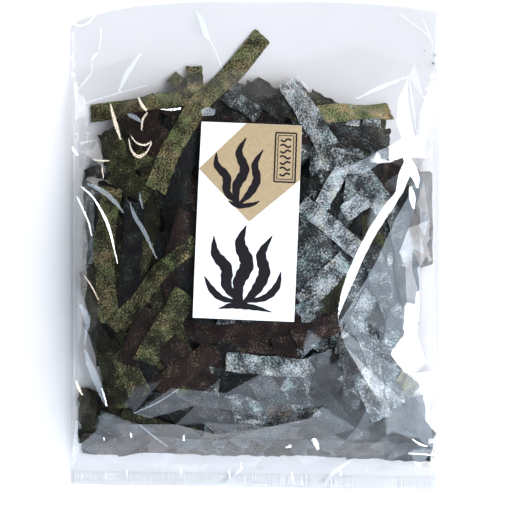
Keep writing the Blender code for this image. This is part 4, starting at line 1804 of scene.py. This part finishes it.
@dataclass
class PaperLabel:
    """The paper label: white, with a tan field cut by its edges, and plain brush shapes."""

    form: BagForm
    place: LabelPlace
    rise: float = 0.45 * MM
    thickness: float = 0.25 * MM
    ink: float = 0.06 * MM
    columns: int = 33
    rows: int = 63
    tan_columns: int = 41
    tan_rows: int = 31
    tan_inset: float = 0.1 * MM

    def patch(self, across: Array, along: Array, top: float, bottom: float) -> Part:
        """Corners and faces of a thin curved solid over a grid of label places.

        Args:
            across: places across the label, from its middle.
            along: places along it.
            top: height of the solid's top over the paper's upper face.
            bottom: height of its underside.

        Returns:
            The corners and the faces.
        """
        x, y = self.place.point(across, along)
        paper = self.form.height(x, y) + self.rise + self.thickness
        corners = [np.stack([x, y, paper + level], axis=-1).reshape(-1, 3) for level in (top, bottom)]
        return np.vstack(corners), thin_solid_faces(*across.shape)

    def sheet(self) -> Thing:
        """The paper itself.

        Returns:
            The piece.
        """
        across, along = np.meshgrid(np.linspace(-0.5, 0.5, self.columns) * self.place.width,
                                    np.linspace(-0.5, 0.5, self.rows) * self.place.length)
        return mesh_object("label_paper", *self.patch(across, along, 0.0, -self.thickness),
                           PaperFinish((0.93, 0.935, 0.93), 0.5), "label_white")

    def tan_field(self) -> Thing:
        """The tan diamond, whose top and right corners the label's edges cut off.

        Returns:
            The piece.
        """
        left, right, top = -0.5 * self.place.width, 0.5 * self.place.width, 0.5 * self.place.length
        reach = top - self.tan_inset
        spread = np.linspace(left + self.tan_inset, right - self.tan_inset, self.tan_columns)
        low = np.interp(spread, [left, 1.2 * MM, right], [39.6 * MM, -0.9 * MM, 33.9 * MM])
        high = np.interp(spread, [left, -4.4 * MM, right], [40.0 * MM, reach, reach])
        shares = np.linspace(0.0, 1.0, self.tan_rows)[:, None]
        along = low * (1.0 - shares) + high * shares
        across = np.repeat(spread[None, :], self.tan_rows, axis=0)
        return mesh_object("label_tan", *self.patch(across, along, 0.5 * self.ink, -0.5 * self.ink),
                           PaperFinish((0.440, 0.325, 0.187), 0.45, 0.1, 0.06, 0.4))

    def inked(self, line: Array, offsets: Array) -> Part:
        """A thin band of ink beside a line of label places."""
        spots = band(line, offsets)
        return self.patch(spots[..., 0], spots[..., 1], self.ink, 0.0)

    def stroke(self, numbers: tuple[float, ...]) -> Part:
        """One brush stroke, wide where it is pressed, tapering at its ends.

        Args:
            numbers: across, along and half-width of each point in mm.

        Returns:
            Corners and faces.
        """
        shaped = curve_through(np.array(in_groups(numbers, 3)) * MM, 1.5 * MM)
        line, half = shaped[:, :2], np.maximum(shaped[:, 2], 0.2 * MM)
        rough = 1.0 + 0.07 * np.sin(np.arange(len(line)) * 1.35 + line[0, 0] * 900.0)
        return self.inked(line, np.linspace(-1.0, 1.0, 5) * (half * rough)[:, None])

    def bar(self, path: Path, width: float) -> Part:
        """A bar of even width, a little wavy, as if cut by hand.

        Args:
            path: its points in mm.
            width: its width in mm.

        Returns:
            Corners and faces.
        """
        line = curve_through(np.array(path) * MM, 1.2 * MM)
        wave = 0.12 * MM * np.sin(np.arange(len(line)) * 1.7)
        return self.inked(line, np.linspace(-0.5, 0.5, 3) * width * MM + wave[:, None])

    def printing(self) -> Thing:
        """All the dark ink: the seaweed tufts and the frame of plain wavy bars.

        Returns:
            The piece.
        """
        parts = [self.stroke(numbers) for numbers in BLADES]
        parts += [self.bar(path, width) for path, width in BarFrame().lines()]
        return mesh_object("label_ink", *joined(parts),
                           PaperFinish((0.012, 0.009, 0.011), 0.55, 0.05, 0.1, 0.15))

    def build(self) -> list[Thing]:
        """Make the paper and what is printed on it."""
        return [self.sheet(), self.tan_field(), self.printing()]


# ------ the studio

def direction(azimuth: float, zenith: float) -> tuple[float, float, float]:
    """Unit direction at angles in degrees."""
    turn, tip = math.radians(azimuth), math.radians(zenith)
    return math.sin(tip) * math.cos(turn), math.sin(tip) * math.sin(turn), math.cos(tip)


@dataclass(frozen=True)
class Glow:
    """A soft bright part of the surroundings: its direction, reach, strength and colour."""

    azimuth: float
    zenith: float
    inner: float
    outer: float
    strength: float
    colour: Colour = (1.0, 1.0, 1.0)


@dataclass(frozen=True)
class Panel:
    """A small bright lamp: its direction, size, brightness, colour and distance."""

    name: str
    azimuth: float
    zenith: float
    size: tuple[float, float]
    radiance: float
    colour: Colour = (1.0, 1.0, 1.0)
    distance: float = 2.5


@dataclass
class Studio:
    """Pale floor, soft surroundings, small lamps and the camera straight above the bag."""

    floor_size: float = 6.0
    sensor_width: float = 36.0
    base: Colour = (0.04675, 0.05225, 0.055)
    glows: tuple[Glow, ...] = (
        Glow(-20.0, 48.0, 27.0, 36.0, 4.1, (0.77, 0.91, 1.08)),
        Glow(-13.5, 51.0, 5.3, 6.4, 13.0),
        Glow(14.0, 76.0, 24.0, 34.0, 3.2, (0.97, 0.97, 1.04)),
        Glow(-95.0, 66.0, 33.0, 42.0, 1.5, (0.81, 0.91, 1.07)),
        Glow(-138.0, 74.0, 4.0, 6.0, 5.0, (1.0, 0.89, 0.74)),
        Glow(48.0, 73.0, 9.0, 12.0, 16.0, (1.0, 0.97, 0.93)),
        Glow(0.0, 180.0, 98.0, 118.0, 0.36),
    )
    panels: tuple[Panel, ...] = (
        Panel("key", 50.0, 50.0, (0.36, 0.36), 16.0, (1.0, 0.97, 0.92)),
        Panel("left", 165.0, 66.0, (0.12, 1.2), 2.5),
    )

    def floor(self) -> None:
        """The pale cloth-like floor, not part of the object."""
        half = self.floor_size / 2.0
        corners = ((-half, -half, 0.0), (half, -half, 0.0), (half, half, 0.0), (-half, half, 0.0))
        mesh_object("floor", corners, [(0, 1, 2, 3)], ClothFinish(), "floor_cloth", None)

    def lamps(self) -> None:
        """The small lamps, each facing the bag."""
        for panel in self.panels:
            lamp = bpy.data.lights.new(panel.name, "AREA")
            lamp.shape = "RECTANGLE"
            lamp.size, lamp.size_y = panel.size
            lamp.energy = panel.radiance * math.pi * panel.size[0] * panel.size[1]
            lamp.color = panel.colour
            thing = put("lamp_" + panel.name, lamp)
            towards = Vector(direction(panel.azimuth, panel.zenith))
            thing.location = towards * panel.distance
            thing.rotation_euler = (-towards).to_track_quat("-Z", "Y").to_euler()

    def surroundings(self) -> None:
        """The world: dim, with soft bright parts."""
        world = bpy.data.worlds.new("world")
        world.use_nodes = True
        nodes = Nodes(world.node_tree)
        looking = nodes.add("TexCoord").outputs["Generated"]
        total = self.base
        for glow in self.glows:
            towards = nodes.add("VectorMath", looking, direction(glow.azimuth, glow.zenith),
                                operation="DOT_PRODUCT").outputs["Value"]
            limits = (math.cos(math.radians(reach)) for reach in (glow.outer, glow.inner))
            fade = nodes.add("MapRange", towards, *limits, interpolation_type="SMOOTHSTEP")
            tint = nodes.add("VectorMath", tuple(c * glow.strength for c in glow.colour), operation="SCALE",
                             Scale=fade)
            total = nodes.add("VectorMath", total, tint)
        nodes.add("OutputWorld", nodes.add("Background", total))
        bpy.context.scene.world = world

    def camera(self) -> None:
        """The camera above the bag, with the photograph's frame."""
        lens = bpy.data.cameras.new("camera")
        lens.sensor_width = self.sensor_width
        lens.lens = self.sensor_width * PHOTO.camera_height / (PHOTO.pixels * PHOTO.scale)
        thing = put("camera", lens)
        thing.location = (0.0, PHOTO.camera_y, PHOTO.camera_height)
        bpy.context.scene.camera = thing

    def build(self) -> None:
        """Set everything up."""
        self.floor()
        self.lamps()
        self.surroundings()
        self.camera()
        bpy.context.scene.view_settings.view_transform = "Standard"


# ------ putting it together


def report(thing: Thing) -> None:
    """Log a finished piece with its face count."""
    LOG.info("%s: %d faces", thing.name, len(thing.data.polygons))


def main() -> None:
    """Build every piece and tell the frame what each one stands for."""
    logging.basicConfig(level=logging.INFO, format="%(message)s")
    form, place = BagForm(), LabelPlace()
    Studio().build()
    net = CreaseNet(form, place)
    contents = NoriHeap(form, place, net).build()
    film = FilmBag(form, net).build()
    printed = PaperLabel(form, place).build()
    extras = [SealRibs(form).build(), Crumbs(form).build(), FilmFolds(net).build()]
    for piece in contents + [film] + extras:
        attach(piece, "root")
        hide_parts("bag")
        report(piece)
    for piece in printed:
        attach(piece, "root")
        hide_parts("label")
        report(piece)


if __name__ == "__main__":
    main()
